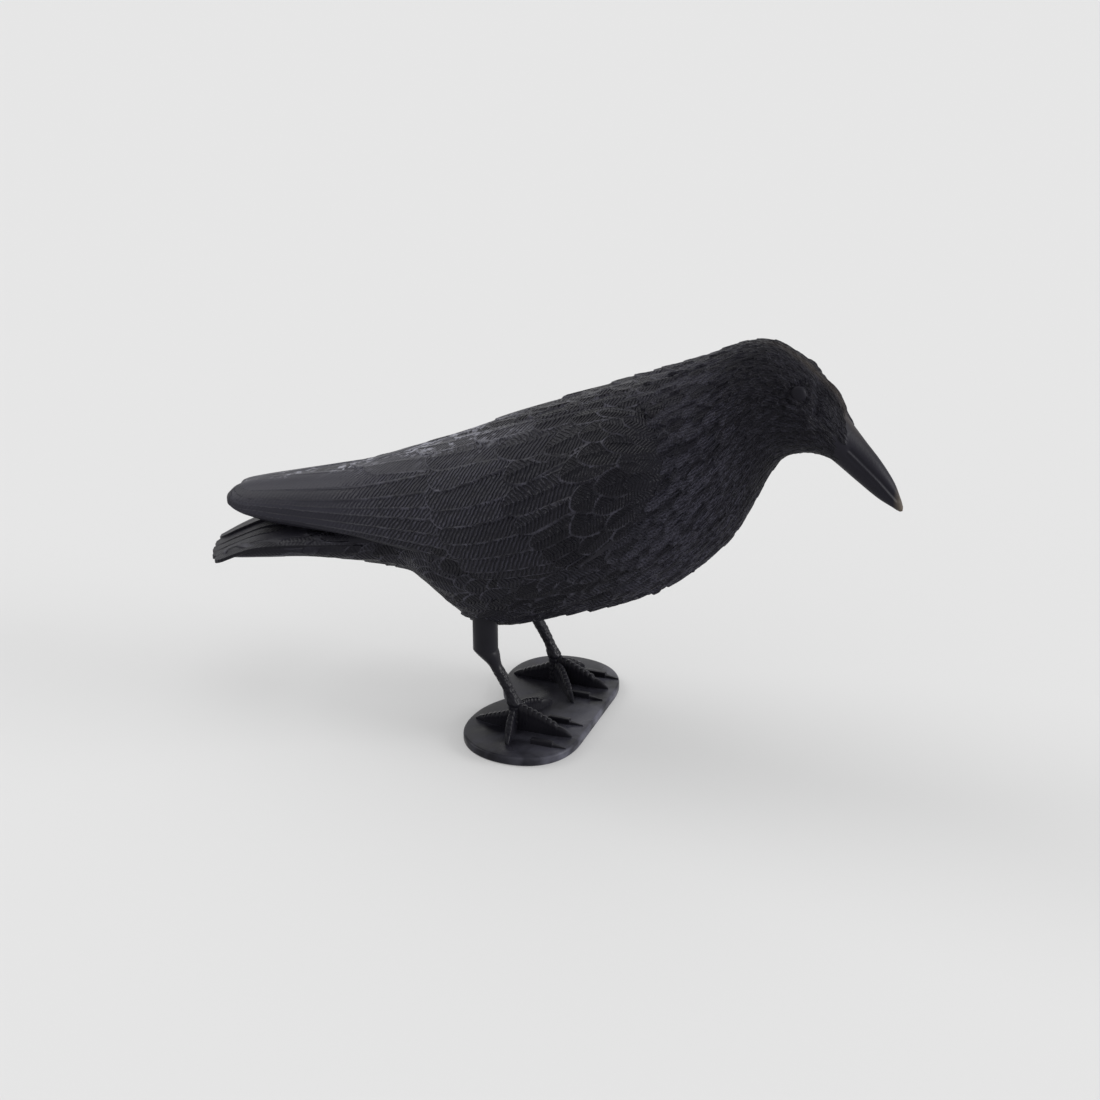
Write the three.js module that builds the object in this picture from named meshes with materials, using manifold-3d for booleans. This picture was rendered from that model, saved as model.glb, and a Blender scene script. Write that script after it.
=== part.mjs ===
// Crow decoy: a moulded crow with carved feathers, on two scaly legs that share one small plate.
// Millimetres, +Z up. The bird looks along +X. The origin is the centre of the plate's underside.

import * as THREE from 'three';
import Module from 'manifold-3d';
import { mergeVertices } from 'three/addons/utils/BufferGeometryUtils.js';

const wasm = await Module();
wasm.setup();

// Driving dimensions of the bird
const bodyLength = 372; // tail end to bill tip
const bellyHeight = 55.5; // floor to the lowest point of the belly
const bodyFeatherPitch = 16; // from one row of body feathers to the next
const bodyFeatherStep = 1.0; // height of a body feather's tip over the row behind it
const wingFeatherStep = 1.5; // height of a wing feather's edge over its neighbour
const tailFeatherWidth = 14;
const tailFeatherThickness = 2.5;
const tailFeatherDrop = 1.3; // each tail feather lies this much under the one nearer the middle
const eyeDiameter = 8.5;
const mouthDepth = 0.8; // depth of the line between the two halves of the bill

// Driving dimensions of the stand
const footSpacing = 58; // between the middle toes
const middleToeLength = 31.5; // each toe is measured from the ankle to the claw
const rearToeLength = 22.5;
const innerToeLength = 33;
const outerToeLength = 19;
const toeWidth = 4;
const footHeight = 13; // from the plate to the top of the foot
const plateThickness = 5;
const plateBevel = 1.4;
const plateNotch = 8; // how far the rear edge comes in between the two feet
const plateFrontMargin = 4.5; // from the middle claw to the front edge
const plateRearMargin = 3.5; // from the rear claw to the rear edge
const plateSideMargin = 10.5; // from the outer claw to the round end
const legLean = 15.6; // how far the hip lies behind the ankle
const pegDiameter = 13; // the smooth top of a leg, which pushes into the belly
const pegDrop = 8.5; // the peg's shoulder lies this far under the belly's lowest point
const shoulderHeight = 7.5; // height of the slope from the peg down to the shank
const pegDepth = 14; // how deep the peg goes into the belly
const pegClearance = 0.3; // gap all round the peg in its socket
const shankDiameter = 6.2;
const scalePitch = 3.6; // from one ring of leg scales, or bead of a toe, to the next
const scaleStep = 0.4; // how far each stands out
const toeSink = 0.8; // how deep the toes and ribs start inside the plate
const ribLength = 19;
const ribWidth = 3.2;
const ribHeight = 3;
const innerRibOffset = 14; // from the middle toe to the rib on the plate's side of it
const outerRibOffset = 11.5; // and to the rib towards the plate's end
const ribLead = 1.5; // its tip lies this far ahead of the middle claw

// Counts and shares that shape the free forms
const trunkColumns = 42;
const trunkFeathers = 14; // body feathers in one row round the trunk
const wingFeathers = 5; // feathers across the wing, from its ridge to its lower edge
const tailSide = 4; // tail feathers on each side of the middle one

// The trunk, head, bill and tail root, as shares of the body's length in percent.
// Along, then upper, lower and widest level above the belly, then half the width there.
const trunkTable = [
  [-46.5, 6.2, 4.8, 5.4, 3.0],
  [-44.0, 6.9, 4.6, 5.7, 6.0],
  [-40.6, 7.7, 5.2, 6.5, 7.0],
  [-33.9, 9.1, 6.3, 7.7, 6.9],
  [-27.2, 12.1, 6.6, 8.9, 6.7],
  [-21.6, 17.8, 6.2, 10.2, 7.3],
  [-17.0, 21.6, 6.2, 11.3, 9.1],
  [-14.0, 23.5, 4.8, 12.1, 11.0],
  [-10.8, 25.4, 2.2, 12.6, 12.5],
  [-7.6, 27.1, 0.2, 13.2, 13.4],
  [-3.0, 29.3, 0.3, 14.8, 14.2],
  [2.9, 31.8, 2.4, 16.9, 14.8],
  [9.1, 34.6, 4.9, 19.6, 14.6],
  [15.2, 37.5, 7.5, 22.6, 14.0],
  [19.8, 39.9, 10.4, 25.8, 12.6],
  [23.8, 42.0, 14.0, 28.7, 11.0],
  [26.8, 43.5, 17.4, 31.7, 9.4],
  [28.9, 44.2, 21.3, 34.4, 7.8],
  [31.1, 44.4, 26.0, 36.5, 6.4],
  [33.2, 43.7, 29.3, 37.3, 5.5],
  [35.7, 42.2, 30.5, 37.2, 4.9],
  [37.8, 40.4, 30.7, 36.3, 4.4],
  [39.6, 38.5, 30.2, 34.7, 3.5],
  [41.0, 36.0, 29.1, 32.8, 2.7],
  [43.2, 33.4, 27.4, 30.5, 2.0],
  [45.9, 30.4, 25.5, 27.8, 1.5],
  [47.8, 27.8, 24.5, 25.9, 1.0],
  [48.8, 25.7, 24.0, 24.8, 0.5],
  [49.2, 24.6, 24.1, 24.3, 0.15],
];

// A folded wing in the same shares: along, then the ridge on the back as half width and level,
// the lower edge as half width and level, the bulge between them, and the wing's own thickness.
const wingTable = [
  [-47.9, 1.9, 12.5, 2.7, 12.2, 0.08, 0.5],
  [-47.1, 1.1, 13.0, 3.8, 11.8, 0.27, 1.2],
  [-44.1, -0.1, 13.8, 5.1, 11.4, 0.67, 1.7],
  [-39.3, -0.5, 15.1, 6.2, 11.3, 1.07, 2.1],
  [-32.6, -0.6, 16.8, 7.0, 11.6, 1.48, 2.7],
  [-25.9, -0.6, 18.5, 8.1, 12.1, 1.88, 3.2],
  [-19.1, -0.5, 21.5, 9.7, 12.4, 2.2, 3.8],
  [-12.4, 0.5, 24.8, 11.4, 12.6, 2.4, 4.2],
  [-4.4, 1.6, 29.0, 13.7, 12.1, 3.1, 4.5],
  [3.7, 3.2, 32.4, 14.4, 13.7, 3.05, 4.3],
  [10.9, 5.4, 34.9, 14.4, 16.4, 2.85, 4.1],
  [15.8, 7.5, 35.8, 13.7, 20.4, 1.5, 3.0],
  [19.5, 9.4, 34.4, 12.6, 25.8, 1.0, 1.5],
  [21.2, 10.2, 32.2, 12.1, 28.5, 0.3, 0.5],
];

// The steps across a wing, in the same shares: where the tips of a row end at the ridge, how much
// further forward they end at the lower edge, and how far each tip reaches back past its sides.
const wingRows = [
  { along: -10.5, slant: 4.5, reach: 2.6 },
  { along: 0.0, slant: 4.5, reach: 1.9 },
  { along: 5.6, slant: 3.8, reach: 1.4 },
  { along: 9.6, slant: 3.2, reach: 1.2 },
  { along: 13.4, slant: 2.4, reach: 1.0 },
  { along: 17.0, slant: 1.4, reach: 0.8 },
];

const share = bodyLength / 100;
const halfSpacing = footSpacing / 2;
const plateLength = plateRearMargin + rearToeLength + middleToeLength + plateFrontMargin;
const plateWidth = footSpacing + 2 * (outerToeLength + plateSideMargin);
const ankleX = plateRearMargin + rearToeLength - plateLength / 2;
const ankleHeight = plateThickness + footHeight;
const hipX = ankleX - legLean;

// Reads a table of rows at one place along it, on a smooth curve through the rows.
function readTable(table, along) {
  const last = table.length - 1;
  const place = Math.min(Math.max(along, table[0][0]), table[last][0]);
  let i = 0;
  while (i < last - 1 && table[i + 1][0] < place) {
    i += 1;
  }
  const slope = (k, c) => {
    const before = table[Math.max(k - 1, 0)];
    const after = table[Math.min(k + 1, last)];
    return (after[c] - before[c]) / (after[0] - before[0]);
  };
  const span = table[i + 1][0] - table[i][0];
  const u = (place - table[i][0]) / span;
  return table[i].map((value, c) => {
    const start = (2 * u ** 3 - 3 * u ** 2 + 1) * value + (u ** 3 - 2 * u ** 2 + u) * span * slope(i, c);
    const end = (3 * u ** 2 - 2 * u ** 3) * table[i + 1][c] + (u ** 3 - u ** 2) * span * slope(i + 1, c);
    return start + end;
  });
}

// Makes a solid from points and triangles, turned right side out.
function makeSolid(points, triangles) {
  let volume = 0;
  for (let i = 0; i < triangles.length; i += 3) {
    const [a, b, c] = [points[triangles[i]], points[triangles[i + 1]], points[triangles[i + 2]]];
    volume += a.clone().cross(b).dot(c);
  }
  const triVerts = new Uint32Array(triangles);
  if (volume < 0) {
    triVerts.reverse();
  }
  const vertProperties = new Float32Array(points.flatMap((p) => [p.x, p.y, p.z]));
  return new wasm.Manifold(new wasm.Mesh({ numProp: 3, vertProperties, triVerts }));
}

// Skins a row of rings, each with as many points, and closes both ends with a fan.
function loft(rings) {
  const count = rings[0].length;
  const points = rings.flat();
  const triangles = [];
  for (let i = 0; i + 1 < rings.length; i += 1) {
    for (let j = 0; j < count; j += 1) {
      const a = i * count + j;
      const b = i * count + ((j + 1) % count);
      triangles.push(a, b, b + count, a, b + count, a + count);
    }
  }
  for (const [ring, first, flip] of [[rings[0], 0, true], [rings.at(-1), points.length - count, false]]) {
    const centre = points.length;
    points.push(ring.reduce((sum, p) => sum.add(p), new THREE.Vector3()).divideScalar(count));
    for (let j = 0; j < count; j += 1) {
      const a = first + j;
      const b = first + ((j + 1) % count);
      triangles.push(...(flip ? [b, a, centre] : [a, b, centre]));
    }
  }
  return makeSolid(points, triangles);
}

// Turns a three.js geometry into a solid.
function solidOf(geometry) {
  const bare = geometry.clone();
  bare.deleteAttribute('normal');
  bare.deleteAttribute('uv');
  const merged = mergeVertices(bare, 1e-4);
  const position = merged.getAttribute('position');
  const points = [];
  for (let i = 0; i < position.count; i += 1) {
    points.push(new THREE.Vector3().fromBufferAttribute(position, i));
  }
  return makeSolid(points, Array.from(merged.index.array));
}

function joinAll(solids) {
  return solids.reduce((whole, next) => whole.add(next));
}

// Fills the small voids that overlapping pieces can close between them: only outer skins are kept.
function fillVoids(solid) {
  return joinAll(solid.decompose().filter((skin) => skin.volume() > 0));
}

// A point of the trunk: at a place along it in percent, an angle round it from the widest level,
// and a lift off its surface in millimetres.
function trunkPoint(along, angle, lift = 0) {
  const [, top, bottom, widest, half] = readTable(trunkTable, along);
  const rise = Math.sin(angle) > 0 ? top - widest : widest - bottom;
  const y = half * share * Math.cos(angle);
  const z = rise * share * Math.sin(angle);
  const grow = 1 + lift / Math.hypot(y, z);
  return new THREE.Vector3(along * share, y * grow, bellyHeight + widest * share + z * grow);
}

// The level of the trunk's underside over a point of the floor.
function trunkUnderside(x, y) {
  const [, , bottom, widest, half] = readTable(trunkTable, x / share);
  const across = Math.min(Math.abs(y) / (half * share), 1);
  return bellyHeight + (widest - (widest - bottom) * Math.sqrt(1 - across ** 2)) * share;
}

// One ring of the trunk. Every feather's tip reaches back by the given share, and a staggered row
// has its tips where the next row has its notches.
function trunkRing({ along, lift = 0, reach = 0, staggered = false, mouth = 0 }) {
  const ring = [];
  for (let j = 0; j < trunkColumns; j += 1) {
    const turn = (j / trunkColumns) * trunkFeathers + (staggered ? 0.5 : 0);
    const back = reach * Math.abs(Math.sin(Math.PI * turn));
    const angle = (j / trunkColumns) * 2 * Math.PI;
    const groove = j % (trunkColumns / 2) === 0 ? mouth : 0;
    ring.push(trunkPoint(along - back, angle, lift - groove));
  }
  return ring;
}

// The trunk: rows of body feathers from the rump to the neck, and plain rings elsewhere.
function makeTrunk() {
  const featherStart = -23;
  const featherEnd = 29.5;
  const mouthStart = 41.5;
  const mouthEnd = 48.5;
  const plain = trunkTable.map(([along]) => along);
  const rings = plain.filter((along) => along < featherStart).map((along) => trunkRing({ along }));
  const pitch = bodyFeatherPitch / share;
  const rows = Math.round((featherEnd - featherStart) / pitch);
  const tipWidth = 0.15;
  for (let k = 0; k < rows; k += 1) {
    const along = featherStart + k * pitch;
    const fade = Math.min(1, (rows - k) / 4);
    const row = { reach: 0.3 * pitch, staggered: k % 2 === 1 };
    rings.push(trunkRing({ ...row, along, lift: 0 }));
    rings.push(trunkRing({ ...row, along: along + tipWidth, lift: bodyFeatherStep * fade }));
  }
  const last = featherStart + rows * pitch;
  for (const along of plain.filter((value) => value > last)) {
    const mouth = along > mouthStart && along < mouthEnd ? mouthDepth : 0;
    rings.push(trunkRing({ along, mouth }));
  }
  return loft(rings);
}

// A point of a wing: along in percent, across from 0 at the ridge to 1 at the lower edge, on the
// outer or inner face, lifted off it in millimetres. Side is 1 for the left wing, -1 for the right.
function wingPoint(side, along, across, outer, lift) {
  const [, ridgeY, ridgeZ, edgeY, edgeZ, bulge, thickness] = readTable(wingTable, along);
  const length = Math.hypot(edgeY - ridgeY, edgeZ - ridgeZ);
  const out = [(ridgeZ - edgeZ) / length, (edgeY - ridgeY) / length];
  const round = Math.sqrt(across * (1 - across)) * (outer ? 1 : -1);
  const push = bulge * 4 * across * (1 - across) + thickness * round + lift / share;
  const y = ridgeY + (edgeY - ridgeY) * across + out[0] * push;
  const z = ridgeZ + (edgeZ - ridgeZ) * across + out[1] * push;
  return new THREE.Vector3(along * share, side * y * share, bellyHeight + z * share);
}

// One ring of a wing. Each long feather's lower edge stands over the next one, by the given saw.
function wingRing(side, { along, slant = 0, reach = 0, staggered = false, lift = 0, saw = 0 }) {
  const steps = [0.04, 0.35, 0.65, 0.96];
  const inner = [0.75, 0.3];
  const ring = [wingPoint(side, along, 0, true, 0)];
  for (let k = 0; k < wingFeathers; k += 1) {
    for (const step of steps) {
      const across = (k + step) / wingFeathers;
      const turn = staggered ? step + 0.5 : step;
      const back = reach * Math.abs(Math.sin(Math.PI * turn));
      ring.push(wingPoint(side, along + slant * across - back, across, true, lift + saw * step));
    }
  }
  ring.push(wingPoint(side, along + slant, 1, true, 0));
  for (const across of inner) {
    ring.push(wingPoint(side, along + slant * across, across, false, 0));
  }
  return ring;
}

// A folded wing: long flight feathers behind, then the rows of coverts up to the shoulder.
function makeWing(side) {
  const tipWidth = 0.2;
  const sawStart = -45;
  const plain = wingTable.map(([along]) => along);
  const rings = [];
  for (const along of plain.filter((value) => value < wingRows[0].along - wingRows[0].reach)) {
    rings.push(wingRing(side, { along, saw: along < sawStart ? 0 : wingFeatherStep }));
  }
  const saws = [1, 0.6, 0, 0, 0, 0, 0].map((part) => part * wingFeatherStep);
  wingRows.forEach(({ along, slant, reach }, k) => {
    const row = { along, slant, reach, staggered: k % 2 === 1 };
    const tip = { ...row, along: along + tipWidth, lift: wingFeatherStep * 0.8 };
    rings.push(wingRing(side, { ...row, saw: saws[k] }));
    rings.push(wingRing(side, { ...tip, saw: saws[k + 1] }));
  });
  for (const along of plain.filter((value) => value > wingRows.at(-1).along + 2)) {
    rings.push(wingRing(side, { along }));
  }
  return loft(rings);
}

// A tail feather: a long blade with a raised shaft and a round tip. The middle one lies on top.
function makeTailFeather(index) {
  const rootAlong = -24;
  const tipAlong = -50.8 + 0.26 * index ** 2;
  const rootY = index * 0.3 * tailFeatherWidth;
  const tipY = index * 0.44 * tailFeatherWidth;
  const top = [[-51, 4.5], [-46, 7.2], [-40.6, 9.0], [-33.9, 10.5], [-27.2, 12.3], [-24, 13.4]];
  const shaft = 0.2 * tailFeatherThickness; // how far the shaft stands up over the blade
  const tilt = 0.12; // how steeply the blade slopes towards its outer edge
  const roundFrom = 0.8; // share of the length where the tip starts to round off
  const rings = [0, 0.4, roundFrom, 0.93, 1].map((run) => {
    const along = rootAlong + (tipAlong - rootAlong) * run;
    const y = rootY + (tipY - rootY) * run;
    const half = (tailFeatherWidth / 2) * Math.sqrt(1 - Math.max(0, (run - roundFrom) / 0.21) ** 2);
    const z = bellyHeight + readTable(top, along)[1] * share - Math.abs(index) * tailFeatherDrop;
    const lean = tilt * half * Math.sign(index);
    return [
      new THREE.Vector3(along * share, y + half, z - shaft - lean),
      new THREE.Vector3(along * share, y, z + shaft),
      new THREE.Vector3(along * share, y - half, z - shaft + lean),
      new THREE.Vector3(along * share, y, z - tailFeatherThickness),
    ];
  });
  return loft(rings);
}

// An eye: a low button set into the side of the head.
function makeEye(side) {
  const eyeAlong = 36.05;
  const eyeAngle = 0.38;
  const flatness = 0.5;
  const inset = 0.12 * eyeDiameter;
  const at = trunkPoint(eyeAlong, eyeAngle);
  const ball = new THREE.SphereGeometry(eyeDiameter / 2, 12, 6);
  ball.scale(1, flatness, 1);
  ball.translate(at.x, side * (at.y - inset), at.z);
  return solidOf(ball);
}

// Skins upright rows of level, place along X and radius, as round rings over one foot.
function loftLeg(side, rows) {
  const sides = 12;
  return loft(rows.map(([z, x, radius]) => {
    const ring = [];
    for (let j = 0; j < sides; j += 1) {
      const angle = (j / sides) * 2 * Math.PI;
      const y = side * halfSpacing + radius * Math.sin(angle);
      ring.push(new THREE.Vector3(x + radius * Math.cos(angle), y, z));
    }
    return ring;
  }));
}

// The peg that goes up into the belly, or with a gap round it the socket that takes the peg.
function pegRows(gap) {
  const top = trunkUnderside(hipX, halfSpacing) + pegDepth + gap;
  const radius = pegDiameter / 2 + gap;
  return [[top, hipX, radius], [bellyHeight - pegDrop, hipX, radius]];
}

// A leg: the peg, its sloping shoulder, and a shank of scale rings that leans forward to the ankle.
function makeLeg(side) {
  const rows = pegRows(0);
  const pegFoot = bellyHeight - pegDrop;
  const shankTop = pegFoot - shoulderHeight;
  const bow = 0.2;
  const centre = (z) => {
    const rise = (z - ankleHeight) / (pegFoot - ankleHeight);
    return ankleX - legLean * Math.max(rise, 0) ** (1 + bow);
  };
  const scales = Math.round((shankTop - ankleHeight) / scalePitch);
  for (let k = 0; k <= scales; k += 1) {
    const z = shankTop + (ankleHeight - shankTop) * (k / scales);
    rows.push([z, centre(z), shankDiameter / 2 + (k % 2 === 0 ? scaleStep : 0)]);
  }
  rows.push([plateThickness - toeSink, ankleX, shankDiameter / 2 + scaleStep]);
  return loftLeg(side, rows);
}

// A toe: a steep fin along a curve over the plate, with beads along its back, ending in a claw.
// The route's points are shares of the toe's length from the ankle, forwards and outwards, and the
// root's height is a share of the foot's.
function makeToe(side, length, route, rootShare) {
  const clawHeight = 0.35 * toeWidth;
  const leastHeight = 0.15 * toeWidth;
  const bevel = 0.28 * toeWidth;
  const rootHeight = footHeight * rootShare;
  const start = new THREE.Vector3(ankleX, side * halfSpacing, 0);
  const place = ([x, y]) => new THREE.Vector3(start.x + x * length, start.y + side * y * length, 0);
  const points = route.map(place);
  const curve = new THREE.CatmullRomCurve3([start, ...points]);
  const stations = 2 * Math.round(curve.getLength() / scalePitch);
  const rings = [];
  for (let k = 0; k <= stations; k += 1) {
    const run = k / stations;
    const at = curve.getPointAt(run);
    const along = curve.getTangentAt(run);
    const across = new THREE.Vector3(-along.y, along.x, 0);
    const narrow = Math.sqrt(1 - Math.max(0, (run - 0.6) / 0.42) ** 2);
    const bead = run < 0.8 ? (k % 2) * scaleStep * 1.5 : 0;
    const height = rootHeight + (clawHeight - rootHeight) * run ** 1.15;
    const top = plateThickness + Math.max(height * Math.min(1, narrow + 0.35), leastHeight) + bead;
    const low = plateThickness - toeSink;
    const half = (toeWidth / 2) * Math.max(narrow, 0.25);
    const corner = (aside, z) => at.clone().addScaledVector(across, aside).setZ(z);
    rings.push([
      corner(-half, low),
      corner(half, low),
      corner(half * 0.85 + bead * 0.5, top - bevel),
      corner(0, top),
      corner(-half * 0.85 - bead * 0.5, top - bevel),
    ]);
  }
  return loft(rings);
}

// The toes of one foot: middle, rear, inner and outer. The two feet stand a little differently.
function makeToes(side) {
  const innerRight = [[0, -0.27], [0.03, -0.55], [0.26, -1]];
  const innerLeft = [[0.18, -0.14], [0.35, -0.36], [0.59, -0.68]];
  const outerRight = [[0.05, 0.47], [0.18, 0.97]];
  const outerLeft = [[0.26, 0.47], [0.55, 1.03]];
  return [
    makeToe(side, middleToeLength, [[0.5, -0.02], [1, -0.03]], 1),
    makeToe(side, rearToeLength, [[-0.5, -0.05], [-1, -0.1]], 0.75),
    makeToe(side, innerToeLength, side < 0 ? innerRight : innerLeft, 0.75),
    makeToe(side, outerToeLength, side < 0 ? outerRight : outerLeft, 0.75),
  ];
}

// A low rib beside a middle toe: a square bar, then a lower pointed end.
function makeRib(y) {
  const low = plateThickness - toeSink;
  const top = plateThickness + ribHeight;
  const tip = ankleX + middleToeLength + ribLead;
  const start = tip - ribLength;
  const barEnd = start + ribLength * 0.62;
  const section = (x, half, z) => [
    new THREE.Vector3(x, y - half, low),
    new THREE.Vector3(x, y + half, low),
    new THREE.Vector3(x, y + half * 0.8, z),
    new THREE.Vector3(x, y - half * 0.8, z),
  ];
  const lowTop = plateThickness + ribHeight * 0.55;
  const tipTop = plateThickness + ribHeight * 0.17;
  return loft([
    section(start, ribWidth / 2, top),
    section(barEnd, ribWidth / 2, top),
    section(barEnd + ribWidth * 0.12, ribWidth * 0.42, lowTop),
    section(tip, ribWidth * 0.1, tipTop),
  ]);
}

// The plate: straight in front, a round lobe under each foot, and a shallow hollow behind.
function makePlate() {
  const bevel = Math.min(plateBevel, plateThickness * 0.3);
  const front = plateLength / 2 - bevel;
  const half = plateWidth / 2 - bevel;
  const outline = new THREE.Shape();
  outline.moveTo(front, -half * 0.45);
  outline.lineTo(front, half * 0.45);
  outline.bezierCurveTo(front, half * 0.82, front * 0.6, half, 0, half);
  outline.bezierCurveTo(-front * 0.6, half, -front, half * 0.8, -front, half * 0.5);
  outline.bezierCurveTo(-front, half * 0.3, -front * 0.9, half * 0.18, plateNotch - front, 0);
  outline.bezierCurveTo(-front * 0.9, -half * 0.18, -front, -half * 0.3, -front, -half * 0.5);
  outline.bezierCurveTo(-front, -half * 0.8, -front * 0.6, -half, 0, -half);
  outline.bezierCurveTo(front * 0.6, -half, front, -half * 0.82, front, -half * 0.45);
  const slab = new THREE.ExtrudeGeometry(outline, {
    depth: plateThickness - 2 * bevel,
    bevelThickness: bevel,
    bevelSize: bevel,
    bevelSegments: 2,
    curveSegments: 5,
  });
  slab.translate(0, 0, bevel);
  return solidOf(slab);
}

function makeBody() {
  const tail = [];
  for (let index = -tailSide; index <= tailSide; index += 1) {
    tail.push(makeTailFeather(index));
  }
  const sides = [-1, 1];
  const bird = joinAll([makeTrunk(), ...sides.map(makeWing), ...tail, ...sides.map(makeEye)]);
  const socket = pegRows(pegClearance);
  return sides.reduce((rest, side) => rest.subtract(loftLeg(side, socket)), fillVoids(bird));
}

function makeStand() {
  const pieces = [makePlate()];
  for (const side of [-1, 1]) {
    pieces.push(makeLeg(side), ...makeToes(side));
    pieces.push(makeRib(side * (halfSpacing - innerRibOffset)));
    pieces.push(makeRib(side * (halfSpacing + outerRibOffset)));
  }
  return fillVoids(joinAll(pieces));
}

// A named mesh of one solid, in its own material.
function makeMesh(name, solid, colour, roughness) {
  const { vertProperties, triVerts } = solid.getMesh();
  const geometry = new THREE.BufferGeometry();
  geometry.setAttribute('position', new THREE.BufferAttribute(vertProperties, 3));
  geometry.setIndex(new THREE.BufferAttribute(triVerts, 1));
  geometry.computeVertexNormals();
  const material = new THREE.MeshStandardMaterial({ color: colour, roughness, metalness: 0 });
  const mesh = new THREE.Mesh(geometry, material);
  mesh.name = name;
  return mesh;
}

const crow = new THREE.Group();
crow.name = 'crow_decoy';
crow.add(makeMesh('crow_body', makeBody(), 0x2a2a30, 0.6));
crow.add(makeMesh('leg_stand', makeStand(), 0x232328, 0.4));

export default crow;
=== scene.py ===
# %% [markdown]
# # Dressing a moulded crow decoy
# The real object is two plastic mouldings: a hollow black bird and a small stand with its legs.
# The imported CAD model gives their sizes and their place. This file carves the feathers and scales
# over the same forms, gives the plastics their finish, and lights the bird as a studio would.

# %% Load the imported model
import math
import bpy
import numpy as np
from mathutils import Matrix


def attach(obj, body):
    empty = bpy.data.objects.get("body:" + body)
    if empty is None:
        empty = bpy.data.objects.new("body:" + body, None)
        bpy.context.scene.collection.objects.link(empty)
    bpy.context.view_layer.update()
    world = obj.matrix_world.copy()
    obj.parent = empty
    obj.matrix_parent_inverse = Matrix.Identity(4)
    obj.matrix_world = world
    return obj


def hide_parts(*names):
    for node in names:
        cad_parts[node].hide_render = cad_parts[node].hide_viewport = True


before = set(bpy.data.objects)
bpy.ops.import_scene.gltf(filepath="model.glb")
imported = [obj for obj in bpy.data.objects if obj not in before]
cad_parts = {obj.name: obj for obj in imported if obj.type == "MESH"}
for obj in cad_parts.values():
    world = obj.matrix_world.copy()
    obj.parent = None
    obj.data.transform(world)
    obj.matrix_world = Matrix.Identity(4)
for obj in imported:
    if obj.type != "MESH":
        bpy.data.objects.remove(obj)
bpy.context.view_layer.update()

# %% [markdown]
# ## The camera
# The photograph looks down a little at the bird's right side. A perspective camera is aimed at
# one point of the bird by its azimuth, elevation and distance, so that the picture is repeatable.
# Its lens follows from how many picture dots one millimetre takes at that distance.

# %% Place the camera
scene = bpy.context.scene
AZIMUTH, ELEVATION = math.radians(21), math.radians(24.5)
DISTANCE = 1.050
TARGET = np.array([0.00375, 0.0, 0.0956])
FRAME_DOTS = 1100
DOTS_PER_MM = 1.95
SENSOR = 36  # mm

back = np.array([math.sin(AZIMUTH) * math.cos(ELEVATION),
                 -math.cos(AZIMUTH) * math.cos(ELEVATION), math.sin(ELEVATION)])
camera = bpy.data.objects.new("camera", bpy.data.cameras.new("camera"))
scene.collection.objects.link(camera)
camera.location = TARGET + back * DISTANCE
camera.rotation_euler = (math.pi / 2 - ELEVATION, 0, AZIMUTH)
camera.data.sensor_width = SENSOR
camera.data.lens = SENSOR * DISTANCE / (FRAME_DOTS / DOTS_PER_MM / 1000)
scene.camera = camera
print("lens of", round(camera.data.lens, 1), "mm")

# %% [markdown]
# ## Floor and light
# A pale table runs out of the picture on all sides. Black plastic shows its carving by what it
# reflects, so the lamps are large and soft: one overhead, one far behind the bird, one at its tail
# and one low in front of the breast. Even light from all round fills the shadows. It is as light as
# the table, so that no horizon shows when the bird is seen from low down.

# %% Small helpers for colours and nodes
def linear(hex_colour):
    """An sRGB colour such as "1f1f24" as linear red, green, blue and alpha."""
    channels = np.array([int(hex_colour[i:i + 2], 16) / 255 for i in (0, 2, 4)])
    low, high = channels / 12.92, ((channels + 0.055) / 1.055) ** 2.4
    return (*np.where(channels <= 0.04045, low, high), 1.0)


def material(name):
    """A new material, its tree of nodes, and the Principled shader in it."""
    made = bpy.data.materials.new(name)
    made.use_nodes = True
    return made, made.node_tree, made.node_tree.nodes["Principled BSDF"]


def plug(tree, target, inputs):
    """Fills a node's inputs: each takes a link where a socket is given, or else the value."""
    for key, given in inputs.items():
        if isinstance(given, bpy.types.NodeSocket):
            tree.links.new(given, target.inputs[key])
        else:
            target.inputs[key].default_value = given

# %% Make the floor and the lamps
FLOOR_HALF = 60.0
floor_mesh = bpy.data.meshes.new("floor")
corners = [(x * FLOOR_HALF, y * FLOOR_HALF, 0) for x, y in ((-1, -1), (1, -1), (1, 1), (-1, 1))]
floor_mesh.from_pydata(corners, [], [(0, 1, 2, 3)])
floor = bpy.data.objects.new("floor", floor_mesh)
scene.collection.objects.link(floor)
opal, tree, shader = material("backlit_opal_acrylic_table")
plug(tree, shader, {"Base Color": linear("a8a8a8"), "Roughness": 0.9, "Specular IOR Level": 0.0,
                    "Emission Color": linear("ffffff"), "Emission Strength": 0.26})
floor.data.materials.append(opal)


def broad_lamp(name, azimuth, elevation, spread, strength):
    """A lamp far away in the given direction, as wide as a softbox of that many degrees."""
    light = bpy.data.objects.new(name, bpy.data.lights.new(name, "SUN"))
    light.data.energy = strength
    light.data.angle = math.radians(spread)
    light.rotation_euler = (math.radians(90 - elevation), 0, math.radians(azimuth))
    scene.collection.objects.link(light)


broad_lamp("overhead_softbox", 190, 65, 45, 0.3)
broad_lamp("backdrop_softbox", 201, 16, 50, 0.35)
broad_lamp("tail_softbox", -95, 36, 35, 1.35)
broad_lamp("breast_softbox", 100, 16, 30, 2.3)
world = bpy.data.worlds.new("even_studio_light")
world.use_nodes = True
plug(world.node_tree, world.node_tree.nodes["Background"], {"Color": (1, 1, 1, 1), "Strength": 0.79})
scene.world = world
scene.view_settings.view_transform = "Standard"

# %% [markdown]
# ## The bird's form
# The trunk with neck, head and bill is one tapering form, best told by a table of stations along
# the bird: upper, lower and widest level, and half the width there. They are shares of the body's
# length in percent, as a maker would lay out a bird of any size. A smooth curve runs through them.

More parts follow.
